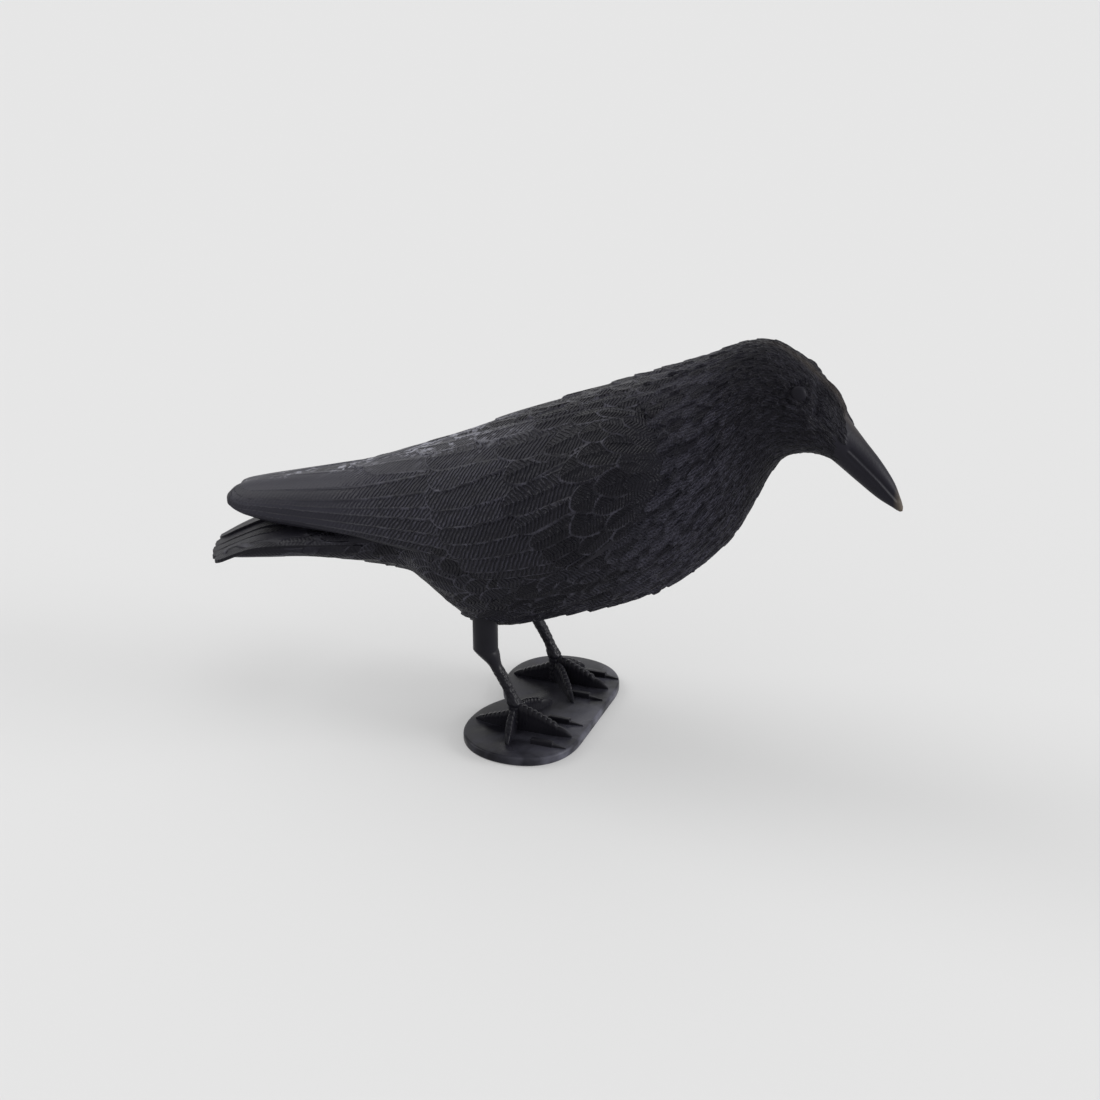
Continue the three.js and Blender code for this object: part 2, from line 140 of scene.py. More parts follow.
# %% The stations of trunk and wing
BODY_LENGTH = 372.0  # mm, tail end to bill tip
SHARE = BODY_LENGTH / 100
BELLY = 55.5  # mm from the floor to the lowest point of the belly

TRUNK = np.array([
    [-46.5, 6.2, 5.2, 5.7, 7.4], [-44, 7.8, 5.1, 6.2, 8.2], [-40.6, 9.4, 5.4, 7.2, 8.6],
    [-33.9, 11.3, 6.3, 8.6, 8.6], [-27.2, 12.8, 6.5, 9.6, 8.1], [-21.6, 17.8, 6.2, 10.5, 7.8],
    [-17, 21.6, 6.2, 11.3, 9.1], [-14, 23.5, 4.8, 12.1, 11.0], [-10.8, 25.4, 2.2, 12.6, 12.5],
    [-7.6, 27.1, 0.2, 13.2, 13.4], [-3, 29.3, 0.3, 14.8, 14.2], [2.9, 31.8, 2.4, 16.9, 14.8],
    [9.1, 34.6, 4.9, 19.6, 14.6], [15.2, 37.5, 7.5, 22.6, 14.0], [19.8, 39.9, 10.4, 25.8, 12.6],
    [23.8, 42.0, 14.0, 28.7, 11.0], [26.8, 43.5, 17.4, 31.7, 9.4], [28.9, 44.2, 21.3, 34.4, 7.8],
    [31.1, 44.4, 26.0, 36.5, 6.4], [33.2, 43.7, 29.3, 37.3, 5.5], [35.7, 42.2, 30.5, 37.2, 4.9],
    [37.8, 40.4, 30.7, 36.3, 4.4], [39.6, 38.5, 30.2, 34.7, 3.5], [41, 36.0, 29.1, 32.8, 2.7],
    [43.2, 33.4, 27.4, 30.5, 2.0], [45.9, 30.4, 25.5, 27.8, 1.5], [47.8, 27.8, 24.5, 25.9, 1.0],
    [48.8, 25.7, 24.0, 24.8, 0.5], [49.2, 24.6, 24.1, 24.3, 0.15]])

# Along, then the wing's ridge (half width, level), its lower edge (half width, level), the bulge
# between them and the wing's own thickness.
WING = np.array([
    [-47.9, 1.7, 12.7, 2.7, 12.2, 0.08, 0.5], [-47.1, 0.3, 13.4, 3.8, 11.8, 0.3, 1.2],
    [-44.1, -1.3, 14.4, 5.1, 11.4, 0.8, 1.7], [-39.3, -1.6, 15.7, 6.2, 11.3, 1.2, 2.1],
    [-32.6, -1.7, 17.4, 7.0, 11.6, 1.6, 2.7], [-25.9, -1.7, 19.2, 8.1, 12.1, 1.95, 3.2],
    [-19.1, -1.5, 22.2, 9.7, 12.4, 2.25, 3.8], [-12.4, -0.1, 25.2, 11.4, 12.6, 2.4, 4.2],
    [-4.4, 1.6, 29.0, 13.7, 12.1, 3.1, 4.5], [3.7, 3.2, 32.4, 14.4, 13.7, 3.05, 4.3],
    [10.9, 5.4, 34.9, 14.4, 16.4, 2.85, 4.1], [15.8, 7.5, 35.8, 13.7, 20.4, 1.5, 3.0],
    [19.5, 9.4, 34.4, 12.6, 25.8, 1.0, 1.5], [21.2, 10.2, 32.2, 12.1, 28.5, 0.3, 0.5]])


def full_turn(count):
    """Even angles of one full turn, in radians."""
    return 2 * np.pi * np.arange(count) / count


def grid_points(*axes):
    """Points of a grid from arrays for X, Y and Z, each spread over the whole grid."""
    return np.stack(np.broadcast_arrays(*axes), -1)


def read_table(rows, along):
    """Reads a table at many places: a cubic through neighbouring rows, whose slope at each row is
    that of the line from the row before it to the row after it."""
    along = np.clip(along, rows[0, 0], rows[-1, 0])
    i = np.clip(np.searchsorted(rows[:, 0], along) - 1, 0, len(rows) - 2)
    order = np.arange(len(rows))
    before, after = rows[np.maximum(order - 1, 0)], rows[np.minimum(order + 1, len(rows) - 1)]
    slope = (after - before) / (after[:, :1] - before[:, :1])
    span = (rows[i + 1, 0] - rows[i, 0])[..., None]
    u = (along - rows[i, 0])[..., None] / span
    start = (2 * u**3 - 3 * u**2 + 1) * rows[i] + (u**3 - 2 * u**2 + u) * span * slope[i]
    end = (3 * u**2 - 2 * u**3) * rows[i + 1] + (u**3 - u**2) * span * slope[i + 1]
    return np.moveaxis(start + end, -1, 0)


def trunk(along, turn):
    """The trunk's skin. Along is in percent and turn goes from 0 to 1 round it, from the left over
    the back. Each station is half an ellipse over its widest level and another half under it."""
    along, turn = np.broadcast_arrays(np.asarray(along, float), np.asarray(turn, float))
    _, top, bottom, widest, half = read_table(TRUNK, along)
    angle = 2 * np.pi * turn
    rise = np.where(np.sin(angle) > 0, top - widest, widest - bottom)
    level = widest + rise * np.sin(angle)
    return np.stack([along * SHARE, half * np.cos(angle) * SHARE, BELLY + level * SHARE], -1)


def wing(along, turn):
    """The left wing's skin. Turn goes from 0 at the ridge over the outer face to 0.5 at the lower
    edge, and back to 1 on the inner face. The two faces are a flat lens, pushed out by the bulge."""
    along, turn = np.broadcast_arrays(np.asarray(along, float), np.asarray(turn, float))
    _, ridge_y, ridge_z, edge_y, edge_z, bulge, thickness = read_table(WING, along)
    across = (1 - np.cos(2 * np.pi * turn)) / 2
    length = np.hypot(edge_y - ridge_y, edge_z - ridge_z)
    push = bulge * 4 * across * (1 - across) + thickness * np.sin(2 * np.pi * turn) / 2
    y = ridge_y + (edge_y - ridge_y) * across + (ridge_z - edge_z) / length * push
    z = ridge_z + (edge_z - ridge_z) * across + (edge_y - ridge_y) / length * push
    return np.stack([along * SHARE, y * SHARE, BELLY + z * SHARE], -1)


print("trunk from", trunk(-46.5, 0.25).round(1), "to", trunk(49.2, 0.25).round(1), "mm")

# %% [markdown]
# ## How a feather is carved
# On the mould each feather is a thin plate that lies on the one behind it: highest at its tip,
# with a raised shaft, and gone at its root, where the next row covers it. Sculpting hundreds by
# hand would be slow and modelling each as its own mesh would be heavy. So the skin is a fine grid,
# and the feathers are laid on it one by one as heights, rear rows first, as a carver would see them.

# %% Feathers as plates on a skin
SOFT_EDGE = 0.5  # mm over which a plate's outline rises
LINE_WIDTH = 0.6  # mm, the half width of a shaft's ridge and of the lip round a plate
LIP = 0.15  # height of that lip, as a share of the step
ROOT_SHARE = 0.15  # how much of its step a plate keeps at the root, and over what share it ends


class Feathers:
    """Feathers on one skin, given by tip and root on it, their half width and their relief."""

    def __init__(self, skin, outward):
        self.skin, self.outward, self.rows = skin, outward, []

    def add(self, tip, root, half, step=0.9, shaft=0.3, edge=0.0, blunt=1.0, bend=0.0, barb=1.0,
            round_by=2.0, camber=0.25, lie=0.0):
        """Adds feathers. Tip and root are along and turn, half and step are in mm, blunt is the
        tip's length over its half width, and bend bows the feather sideways by that many mm. The
        tip is an ellipse when round_by is 2 and more pointed below that. Camber is the fall from
        the middle to the sides, as a share of the step, and lie is where the shaft lies, from -1 at
        the upper edge to 1 at the lower one."""
        columns = [*tip, *root, half, step, shaft, edge, blunt, bend, barb, round_by, camber, lie]
        self.rows.append(np.stack(np.broadcast_arrays(*[np.atleast_1d(c) for c in columns]), -1))

    def finish(self):
        """Works out each feather's own axes: along its shaft, across it, and off the skin."""
        rows = np.concatenate(self.rows)
        (self.tip_a, self.tip_t, self.root_a, self.root_t, self.half, self.step, self.shaft,
         self.edge, self.blunt, self.bend, self.barb, self.round_by, self.camber, self.lie) = rows.T
        self.tip = self.skin(self.tip_a, self.tip_t)
        root = self.skin(self.root_a, self.root_t)
        third = 0.35  # the skin's direction is taken about this far from tip to root
        a = self.tip_a + third * (self.root_a - self.tip_a)
        t = self.tip_t + third * (self.root_t - self.tip_t)
        off = self.outward * np.cross(self.skin(a + 0.2, t) - self.skin(a - 0.2, t),
                                      self.skin(a, t + 0.004) - self.skin(a, t - 0.004))
        self.length = np.linalg.norm(root - self.tip, axis=1)
        self.run = (root - self.tip) / self.length[:, None]
        off -= (off * self.run).sum(1, keepdims=True) * self.run
        self.off = off / np.linalg.norm(off, axis=1, keepdims=True)
        self.side = np.cross(self.off, self.run)
        return self


def feather_place(feathers, k, points):
    """Where points lie on feather k, in mm: u across from its middle, v along it from the tip."""
    rel = points - feathers.tip[k]
    v = (rel * feathers.run[k]).sum(-1)
    share = np.clip(v / feathers.length[k], 0, 1)
    u = (rel * feathers.side[k]).sum(-1) - feathers.bend[k] * 4 * share * (1 - share)
    return u, v


def feather_depth(feathers, k, u, v):
    """How far a place lies inside feather k, in mm, with straight sides and a tip outlined by
    (|u| / half) ** p + (run / tip length) ** p = 1, where p is round_by. It is negative outside."""
    half, power = feathers.half[k], feathers.round_by[k]
    round_off = half * feathers.blunt[k]
    tip_run = np.clip((round_off - v) / round_off, 0, None)
    reach = (np.abs(u / half) ** power + tip_run ** power) ** (1 / power)
    return (1 - reach) * np.minimum(half, round_off)


def lay_feathers(points, normals, stations, turns, feathers):
    """Lays feathers on a grid of points in order and returns the height and the owner of each.
    A plate's height falls evenly from the step at the tip to a small share of it at the root. It
    falls off with (u / half) ** 2 to the sides, leans by the edge's height, and carries a shaft and
    a lip shaped as exp(-(distance / width) ** 2). Where it covers, it takes the place of what was."""
    height = np.zeros(points.shape[:2])
    owner = np.full(points.shape[:2], -1)
    girth = np.linalg.norm(np.roll(points, -1, 1) - points, axis=2).sum(1)
    for k in range(len(feathers.half)):
        half, length = feathers.half[k], feathers.length[k]
        pad = (half + 2) / SHARE  # the part of the grid that it can reach, with 2 mm to spare
        low, high = sorted((feathers.tip_a[k], feathers.root_a[k]))
        i0, i1 = np.searchsorted(stations, [low - pad, high + pad])
        if i1 - i0 < 2:
            continue
        reach = 0.03 + (2 * half + abs(feathers.bend[k])) / girth[i0:i1].min()
        reach += abs(feathers.root_t[k] - feathers.tip_t[k]) / 2
        centre = (feathers.root_t[k] + feathers.tip_t[k]) / 2
        near = np.abs((turns - centre + 0.5) % 1 - 0.5) < reach
        part = np.ix_(np.arange(i0, i1), np.flatnonzero(near))
        u, v = feather_place(feathers, k, points[part])
        inside = feather_depth(feathers, k, u, v)
        cover = np.clip(0.5 + inside / SOFT_EDGE, 0, 1)
        cover *= np.clip((length - v) / (ROOT_SHARE * length), 0, 1)
        cover *= (normals[part] * feathers.off[k]).sum(-1) > 0.25
        share = np.clip(v / length, 0, 1)
        plate = feathers.step[k] * (ROOT_SHARE + (1 - ROOT_SHARE) * (1 - share))
        plate += feathers.edge[k] * u / half * 0.5
        plate -= feathers.camber[k] * feathers.step[k] * (u / half) ** 2
        shaft = np.exp(-((u - feathers.lie[k] * half) / LINE_WIDTH) ** 2)
        plate += feathers.shaft[k] * shaft * np.clip(v / 3, 0, 1)
        plate += LIP * np.exp(-(inside / LINE_WIDTH) ** 2) * feathers.step[k]
        height[part] += cover * (plate - height[part])
        owner[part] = np.where(cover > 0.5, k, owner[part])
    return height, owner


def off_skin(points, turned_out):
    """Unit normals of a grid that is closed round its second side."""
    along = np.gradient(points, axis=0)
    round_it = np.roll(points, -1, 1) - np.roll(points, 1, 1)
    normals = np.cross(along, round_it) * turned_out
    return normals / np.maximum(np.linalg.norm(normals, axis=2, keepdims=True), 1e-9)


# %% [markdown]
# ## Laying out the plumage
# A crow's body has short streaks on head and neck, longer ones down the breast, and broader
# rounded feathers on back, flanks and belly. They are set out in rows from tail to head with some
# irregularity, because even rows would look like roof tiles.

# %% Body feathers in rows
rng = np.random.default_rng(7)


def body_feathers():
    """Rows of feathers that follow three rules of place: they shrink towards the head, they are
    long and narrow on the breast, and broad on back and belly. Each is moved and turned a little.
    Under the tail lie long vanes, and the base of the bill has bristles."""
    laid = Feathers(trunk, -1)
    vanes = np.arange(0.5, 1.02, 0.05)
    laid.add((-45.8 + 0 * vanes, vanes), (-27 + 0 * vanes, vanes), 4.2, step=0.8, shaft=0.4,
             edge=0.9, blunt=1.5, barb=0.15, lie=-0.4)
    along = -36.0
    while along < 39.6:
        spacing = np.interp(along, [-39, 5, 16, 22, 28, 33, 40], [2.8, 2.5, 2.0, 1.5, 1.1, 0.8, 0.7])
        fine = np.linspace(0, 1, 721)
        run = np.r_[0, np.cumsum(np.linalg.norm(np.diff(trunk(along, fine), axis=0), axis=1))]
        level = np.sin(2 * np.pi * fine)
        broad = np.interp(along, [-39, 5, 15, 22, 28, 33, 40], [8.5, 8.5, 7.2, 5.2, 3.0, 2.1, 1.7])
        breast = np.clip(0.35 - level, 0, 1) * np.interp(along, [2, 12, 22, 34], [0, 1, 1, 0])
        width = broad * (1 - 0.45 * breast)
        count = np.r_[0, np.cumsum(np.diff(run) / width[1:])]
        places = np.arange(0.5 * (len(laid.rows) % 2), count[-1] - 0.4)
        places = places + rng.uniform(-0.4, 0.4, len(places))
        turn = np.interp(places, count, fine)
        own = np.interp(turn, fine, breast)
        half = np.interp(turn, fine, width) * rng.uniform(0.45, 0.75, len(turn))
        shift = rng.uniform(-0.5, 0.5, len(turn)) * spacing
        reach = spacing * (2.3 + 1.5 * own) * rng.uniform(0.8, 1.2, len(turn))
        veer = rng.uniform(-0.14, 0.14, len(turn)) * reach * SHARE / run[-1]
        size = np.interp(along, [-39, -27, 12, 17, 22, 29, 40], [0.6, 1.2, 1.3, 1.7, 1.35, 0.75, 0.4])
        size = (size + 0.5 * own) * rng.uniform(0.6, 1.3, len(turn))
        laid.add((along + shift, turn), (along + shift + reach, turn + veer), half, step=size,
                 shaft=0.25 * size, blunt=1.7 + 1.5 * own, round_by=1.5, camber=0.7,
                 barb=np.interp(along, [-34, -26, -15, 12, 22, 32], [0.1, 0.6, 1.1, 1.0, 0.6, 0.3]))
        along += spacing
    bristles(laid)
    return laid.finish()


def bristles(laid):
    """Stiff bristles that lie forward over the base of the bill, with their tips towards it."""
    count = 110
    turn = 0.25 + rng.uniform(-0.2, 0.2, count)
    over_bill = np.clip(1 - np.abs(turn - 0.25) / 0.07, 0, 1)
    tip = 39.4 + 2.4 * rng.random(count) ** 0.7 - over_bill
    order = np.argsort(-tip)
    back_by = rng.uniform(1.3, 2.2, count)
    laid.add((tip[order], turn[order]), ((tip - back_by)[order], turn[order]),
             rng.uniform(0.7, 1.1, count), step=0.7, shaft=0.2, blunt=3.0, round_by=1.4, camber=0.8,
             barb=0.5)


plumage = body_feathers()
print("body feathers:", len(plumage.half))


# %% [markdown]
# ## The folded wing
# From the tail forwards a folded wing shows its long primaries, then the secondaries with their
# bowed shafts, then three kinds of coverts that get shorter towards the shoulder. Each row is set
# out by where its tips lie at the ridge, in the middle and at the lower edge.

# %% Wing feathers row by row
def wing_row(laid, turns, tips, reach, rise, width, **relief):
    """One row: tips at the given turns and places along, from the ridge down. Roots lie further
    forward by reach, in percent, and nearer the ridge by rise, in turns. The half width is width
    times the distance to the next feather. The lowest is laid first, as each lies under the next."""
    turns, tips, reach, rise, width = np.broadcast_arrays(turns, tips, reach, rise, width)
    gap = np.gradient(turns)
    middle = tips + reach / 3
    across = np.linalg.norm(wing(middle, turns + gap / 2) - wing(middle, turns - gap / 2), axis=-1)
    order = np.arange(len(turns))[::-1]
    relief = {name: value[::-1] if np.ndim(value) else value for name, value in relief.items()}
    laid.add((tips[order], turns[order]), ((tips + reach)[order], (turns - rise)[order]),
             (width * across)[order], **relief)


def wing_feathers():
    """The rows of a folded wing, from the long primaries to the small feathers of the shoulder."""
    laid = Feathers(wing, 1)
    # The long primaries, and the plain feathers that lie over them at the ridge.
    wing_row(laid, [0.13, 0.2, 0.2625, 0.307, 0.352, 0.398, 0.445],
             [-46.5, -46.8, -47, -47, -47, -46.8, -46.5], 52, 0.0, 1.0,
             step=0.7, edge=1.2, shaft=0.5, blunt=2.0, barb=1.2, lie=-0.5)
    wing_row(laid, [0.03, 0.09, 0.15], [-30, -29, -26], 24, 0.0, 0.9,
             step=1.1, edge=0.5, blunt=1.7, round_by=1.6, barb=0.3)
    # The bowed secondaries, and their neighbours at the ridge.
    wing_row(laid, [0.233, 0.2845, 0.326, 0.3645, 0.398, 0.435, 0.47],
             [-13.5, -13, -11.6, -10.2, -8.6, -6.6, -4.4], 16,
             [0.1, 0.065, 0.07, 0.065, 0.055, 0.04, 0.02], [0.8, 0.7, 0.74, 0.76, 0.8, 0.9, 1.0],
             step=1.3, edge=0.9, shaft=0.5, blunt=1.1, bend=[5.5, 4.2, 4.0, 3.5, 2.5, 1.5, 0.5],
             barb=1.4, camber=0.1, lie=-0.75)
    wing_row(laid, [0.03, 0.1, 0.17], [-23.4, -18, -15.1], 16, 0.035, 0.72,
             step=1.3, edge=0.6, blunt=1.5, bend=1.0, round_by=1.8, barb=[0.2, 0.3, 0.8])
    # The greater coverts, and the same at the ridge.
    wing_row(laid, [0.18, 0.2295, 0.287, 0.332, 0.37, 0.405, 0.44, 0.47],
             [1.9, -0.9, -0.3, 2.0, 4.2, 6.0, 7.6, 9], 11,
             [0.03, 0.08, 0.05, 0.07, 0.06, 0.05, 0.05, 0.04], 0.6,
             step=1.4, edge=0.3, shaft=0.7, blunt=1.4, round_by=1.65, barb=1.3)
    wing_row(laid, [0.03, 0.1, 0.165], [-12.8, -8.3, -3.5], 12, 0.05, 0.68,
             step=1.4, edge=0.3, blunt=1.6, round_by=1.7, barb=[0.4, 0.7, 1.2])
    # Four rows of small coverts, staggered like shingles. Each has its tips' places at the ridge,
    # in the middle and at the lower edge, and its step.
    for number, (*tips, step) in enumerate(((-0.5, 7.8, 11.8, 1.4), (5.5, 12.0, 15.0, 1.2),
                                            (10.5, 15.6, 17.6, 0.9), (14.5, 18.2, 19.6, 0.6))):
        turns = 0.055 + 0.058 * (np.arange(7) + 0.5 * (number % 2)) + rng.uniform(-0.012, 0.012, 7)
        tips = np.interp(turns, [0.05, 0.25, 0.45], tips) + rng.uniform(-1.1, 1.1, 7)
        wing_row(laid, turns, tips, 8.5, rng.uniform(0.03, 0.09, 7), rng.uniform(0.5, 0.66, 7),
                 step=step, edge=0.2, shaft=0.6, blunt=rng.uniform(1.3, 1.8, 7), round_by=1.6,
                 camber=0.3, barb=rng.uniform(0.9, 1.4, 7))
    return laid.finish()


coverage = wing_feathers()
print("feathers on each wing:", len(coverage.half))

# %% [markdown]
# ## From skins to one closed moulding
# Each form is a grid closed round itself and at both ends. The grids overlap, as clay laid on clay,
# and a union makes them one skin. A second map on each grid remembers where every point came from,
# so that the fine barbs can be laid along each feather's own shaft afterwards.

# %% Closed grids
SHEET_FROM, SHEET_SPAN = 0.1, 0.8  # the fraction of u that the places along take up
TRUNK_SHELL, WING_SHELLS, TAIL_SHELLS, EYE_SHELL, SOCKET_SHELL = 0, (1, 2), range(3, 12), 12, 13


def write_all(data, name, values):
    """Sets one value of every item of the mesh's data."""
    data.foreach_set(name, values.astype(np.float32).ravel())


def grid_object(name, points, shell):
    """A closed mesh from a grid of rings in mm. The map "sheet" holds its number and place: the
    whole part of u is the shell, its fraction the place along, and v the place round."""
    count, columns = points.shape[:2]
    ends = np.stack([points[0].mean(0), points[-1].mean(0)])
    vertices = np.concatenate([points.reshape(-1, 3), ends]) / 1000
    ring = np.arange(columns)
    after = np.roll(ring, -1)
    start = np.arange(count - 1)[:, None] * columns
    quads = np.stack([start + ring, start + columns + ring, start + columns + after, start + after],
                     -1).reshape(-1, 4)
    last = (count - 1) * columns
    first_cap = np.stack([ring, after, np.full(columns, count * columns)], -1)
    last_cap = np.stack([last + after, last + ring, np.full(columns, count * columns + 1)], -1)
    faces = [quads, first_cap, last_cap]
    a, b, c = (vertices[np.concatenate([part[:, k] for part in faces])] for k in range(3))
    if (np.cross(a, b) * c).sum() < 0:
        faces = [part[:, ::-1] for part in faces]
    loops = np.concatenate([part.ravel() for part in faces])
    sizes = np.r_[np.full(len(quads), 4), np.full(2 * columns, 3)]
    starts = np.r_[0, np.cumsum(sizes)[:-1]]
    mesh = bpy.data.meshes.new(name)
    mesh.vertices.add(len(vertices))
    write_all(mesh.vertices, "co", vertices)
    mesh.loops.add(len(loops))
    mesh.loops.foreach_set("vertex_index", loops.astype(np.int32))
    mesh.polygons.add(len(sizes))
    mesh.polygons.foreach_set("loop_start", starts.astype(np.int32))
    mesh.update()
    station, column = loops // columns, loops % columns
    pole = loops >= count * columns
    station[pole] = np.where(loops[pole] == count * columns, 0, count - 1)
    place = np.stack([shell + SHEET_FROM + SHEET_SPAN * station / (count - 1), column / columns], -1)
    wrap = np.add.reduceat(column == 0, starts) > 0
    far = np.add.reduceat(column == columns - 1, starts) > 0
    crossing = np.repeat(wrap & far, sizes) & (column == 0)
    place[crossing, 1] = 1.0
    write_all(mesh.uv_layers.new(name="sheet").data, "uv", place)
    made = bpy.data.objects.new(name, mesh)
    scene.collection.objects.link(made)
    return made


def applied(piece):
    """Gives the piece the mesh that its modifiers make, and takes them off."""
    mesh = bpy.data.meshes.new_from_object(piece.evaluated_get(bpy.context.evaluated_depsgraph_get()))
    piece.modifiers.clear()
    piece.data = mesh


def merge(piece, others, operation="UNION"):
    """Joins closed meshes to a piece, or cuts them from it, and removes the ones used."""
    for other in others:
        cut = piece.modifiers.new("join", "BOOLEAN")
        cut.operation, cut.object, cut.solver = operation, other, "MANIFOLD"
        applied(piece)
        bpy.data.objects.remove(other)


def smooth(piece, crease):
    """Shades a piece smoothly, but for edges sharper than the crease in degrees."""
    piece.data.polygons.foreach_set("use_smooth", np.ones(len(piece.data.polygons), bool))
    piece.data.set_sharp_from_angle(angle=math.radians(crease))

# %% The trunk's grid
def stations_by_length(skin, ends, turns, count, sparse=(0, 0, 1)):
    """Places along a skin at equal steps of its greatest length. Between the first two values of
    sparse, the steps are longer by the third."""
    fine = np.linspace(*ends, 2000)
    run = np.max([np.linalg.norm(np.diff(skin(fine, turn), axis=0), axis=1)
                  for turn in turns], axis=0)
    run[(fine[1:] > sparse[0]) & (fine[1:] < sparse[1])] /= sparse[2]
    run = np.r_[0, np.cumsum(run)]
    return np.interp(np.linspace(0, run[-1], count), run, fine)


trunk_along = stations_by_length(trunk, (-46.4, 49.15), (0.25, 0.75, 0.0), 600, (-47, -27, 5))
trunk_turn = np.arange(440) / 440
trunk_skin = trunk(trunk_along[:, None], trunk_turn)
trunk_off = off_skin(trunk_skin, -1)
trunk_height, trunk_owner = lay_feathers(trunk_skin, trunk_off, trunk_along, trunk_turn, plumage)
print("trunk grid", trunk_skin.shape[:2], "relief to", round(trunk_height.max(), 2), "mm")

# %% The wings' grids
wing_along = stations_by_length(wing, (-47.85, 21.15), (0.25, 0.0, 0.5), 440)
# The inner face lies on the trunk, so it gets few columns.
wing_turn = np.r_[np.linspace(0, 0.5, 150), np.linspace(0.5, 1, 32)[1:-1]]
wing_skin = wing(wing_along[:, None], wing_turn)
wing_off = off_skin(wing_skin, 1)
wing_height, wing_owner = lay_feathers(wing_skin, wing_off, wing_along, wing_turn, coverage)
# The relief is worn low towards the wing's tip and sinks into the shoulder.
worn = np.interp(wing_along, [-46, -38, -28, 16, 21], [0.12, 0.35, 1.0, 1.0, 0.15])
wing_height *= worn[:, None]
print("wing grid", wing_skin.shape[:2], "relief to", round(wing_height.max(), 2), "mm")

# %% [markdown]
# ## Eye, brow, lore and mouth
# The head's features are grooves and ridges along short lines, the same on both sides. Each is
# carved by its distance, seen from the side, from a line drawn on the head: deep on the line and
# fading away from it like a soft gouge.

# %% Carve the head
EYE = np.array([132.8, 202.2])  # along X and Z, in mm
EYE_RADIUS = 4.1
side_view = trunk_skin[..., [0, 2]] - EYE
outside = np.clip((np.abs(trunk_off[..., 1]) - 0.15) / 0.3, 0, 1)


def line_distance(places, line):
    """The distance of each place from a line of points: for every stretch, the nearest point is
    the foot of the plumb line, kept between its ends, and the smallest distance counts."""
    best = np.full(places.shape[:-1], np.inf)
    for start, end in zip(line[:-1], line[1:]):
        stretch = end - start
        share = np.clip((places - start) @ stretch / (stretch @ stretch), 0, 1)
        best = np.minimum(best, np.linalg.norm(places - start - share[..., None] * stretch, axis=-1))
    return best


def gouge(line, width, height):
    """A ridge, or with a negative height a groove, along a line in mm from the eye's centre. Its
    section is height * exp(-(distance / width) ** 2)."""
    away = line_distance(side_view, np.array(line, float))
    return height * np.exp(-(away / width) ** 2) * outside


def arc(radius, start, end):
    """Points of an arc round the eye between two angles in degrees, from forward over the top."""
    angle = np.radians(np.linspace(start, end, 14))
    return np.stack([radius * np.cos(angle), radius * np.sin(angle)], -1)


mouth_along = np.linspace(42.2, 48.3, 20)
mouth_turn = 0.5 + np.interp(mouth_along, [42.2, 46, 48.3], [-0.022, -0.032, -0.02])
mouth = trunk(mouth_along, mouth_turn)[:, [0, 2]] - EYE
strokes = [
    (arc(4.8, 170, 290), 0.8, -0.6), (arc(4.7, -50, 20), 0.7, -0.4),  # grooves round the eyeball
    ([(-3.4, 4.0), (0.4, 5.0), (4.4, 4.5), (7.2, 2.8)], 1.0, -1.7),  # fold under the brow
    ([(-4.4, 5.2), (0.5, 6.4), (5.5, 5.8)], 0.9, 0.5),
    ([(-6.5, 5.2), (-2, 7.4), (3.5, 7.6), (8.6, 6.0)], 1.4, 0.8),  # brow
    (arc(6.4, 165, 270), 0.9, 0.7), (arc(9.4, 170, 250), 0.9, 0.4),  # bags behind and below
    ([(8.0, 3.5), (9.4, -2), (9.5, -8)], 1.3, -1.2),  # lore, from the eye down to the mouth
    ([(9.5, -8), (9.8, -14), (11, -20)], 1.8, -0.5),
    (mouth + (0.6, 0.9), 1.0, -0.7), (mouth, 0.5, 0.3), (mouth - (0.6, 1.1), 0.8, -0.35)]
head = sum(gouge(*stroke) for stroke in strokes)

# Where the bill begins, the forehead ends in a low step.
forehead = np.clip((40.75 - trunk_along) / 0.15, 0, 1) * np.clip((trunk_along - 37.5) / 2, 0, 1)
head += 0.9 * forehead[:, None] * np.exp(-((trunk_turn - 0.25) / 0.07) ** 4)
calm = np.clip(np.linalg.norm(side_view, axis=-1) - EYE_RADIUS - 0.3, 0, 1)
mantle = 2.6 * np.exp(-((trunk_turn - 0.25) / 0.075) ** 4)
mantle = mantle * np.interp(trunk_along, [-22, -8, 12, 20], [0, 1, 1, 0])[:, None]
trunk_carved = trunk_skin + trunk_off * (trunk_height * calm + head + mantle)[..., None]
print("head carving from", round(head.min(), 2), "to", round(head.max(), 2), "mm")

# %% [markdown]
# ## The tail
# Nine long blades spread under the wing tips. The middle one lies on top, and each has a raised
# shaft and a round end. One function makes them all, from a root far inside the rump to the tip.

# %% Tail feathers
TAIL_WIDTH = 15.0  # mm, a blade
TAIL_DROP = 2.4  # each blade lies this much under the one nearer the middle
TAIL_SLOPE = 0.17  # fall of a blade towards the tail's outer side
TAIL_DEPTH = 3.0  # thickness of a blade below its edges
TAIL_TOP = np.array([[-51, 4.8], [-46, 7.8], [-40.6, 10.5], [-33.9, 12.1],
                     [-27.2, 13.2], [-24, 13.8]])  # along and level, in percent
ROUND_FROM = 0.9  # the share of its run at which a blade begins to round off
blade_run = np.r_[np.linspace(0, ROUND_FROM, 80),
                  ROUND_FROM + (1 - ROUND_FROM) * np.sin(np.linspace(0, np.pi / 2, 40))[1:]]


def blade_half(run):
    """Half the width of a blade: even, then rounded off as a quarter of an ellipse at the tip."""
    return TAIL_WIDTH / 2 * np.sqrt(1 - np.clip((run - ROUND_FROM) / 0.1015, 0, 1) ** 2)


def blade_spread(run):
    """How far apart neighbouring shafts lie, as a share of a blade's width."""
    return 0.37 + 0.08 * run


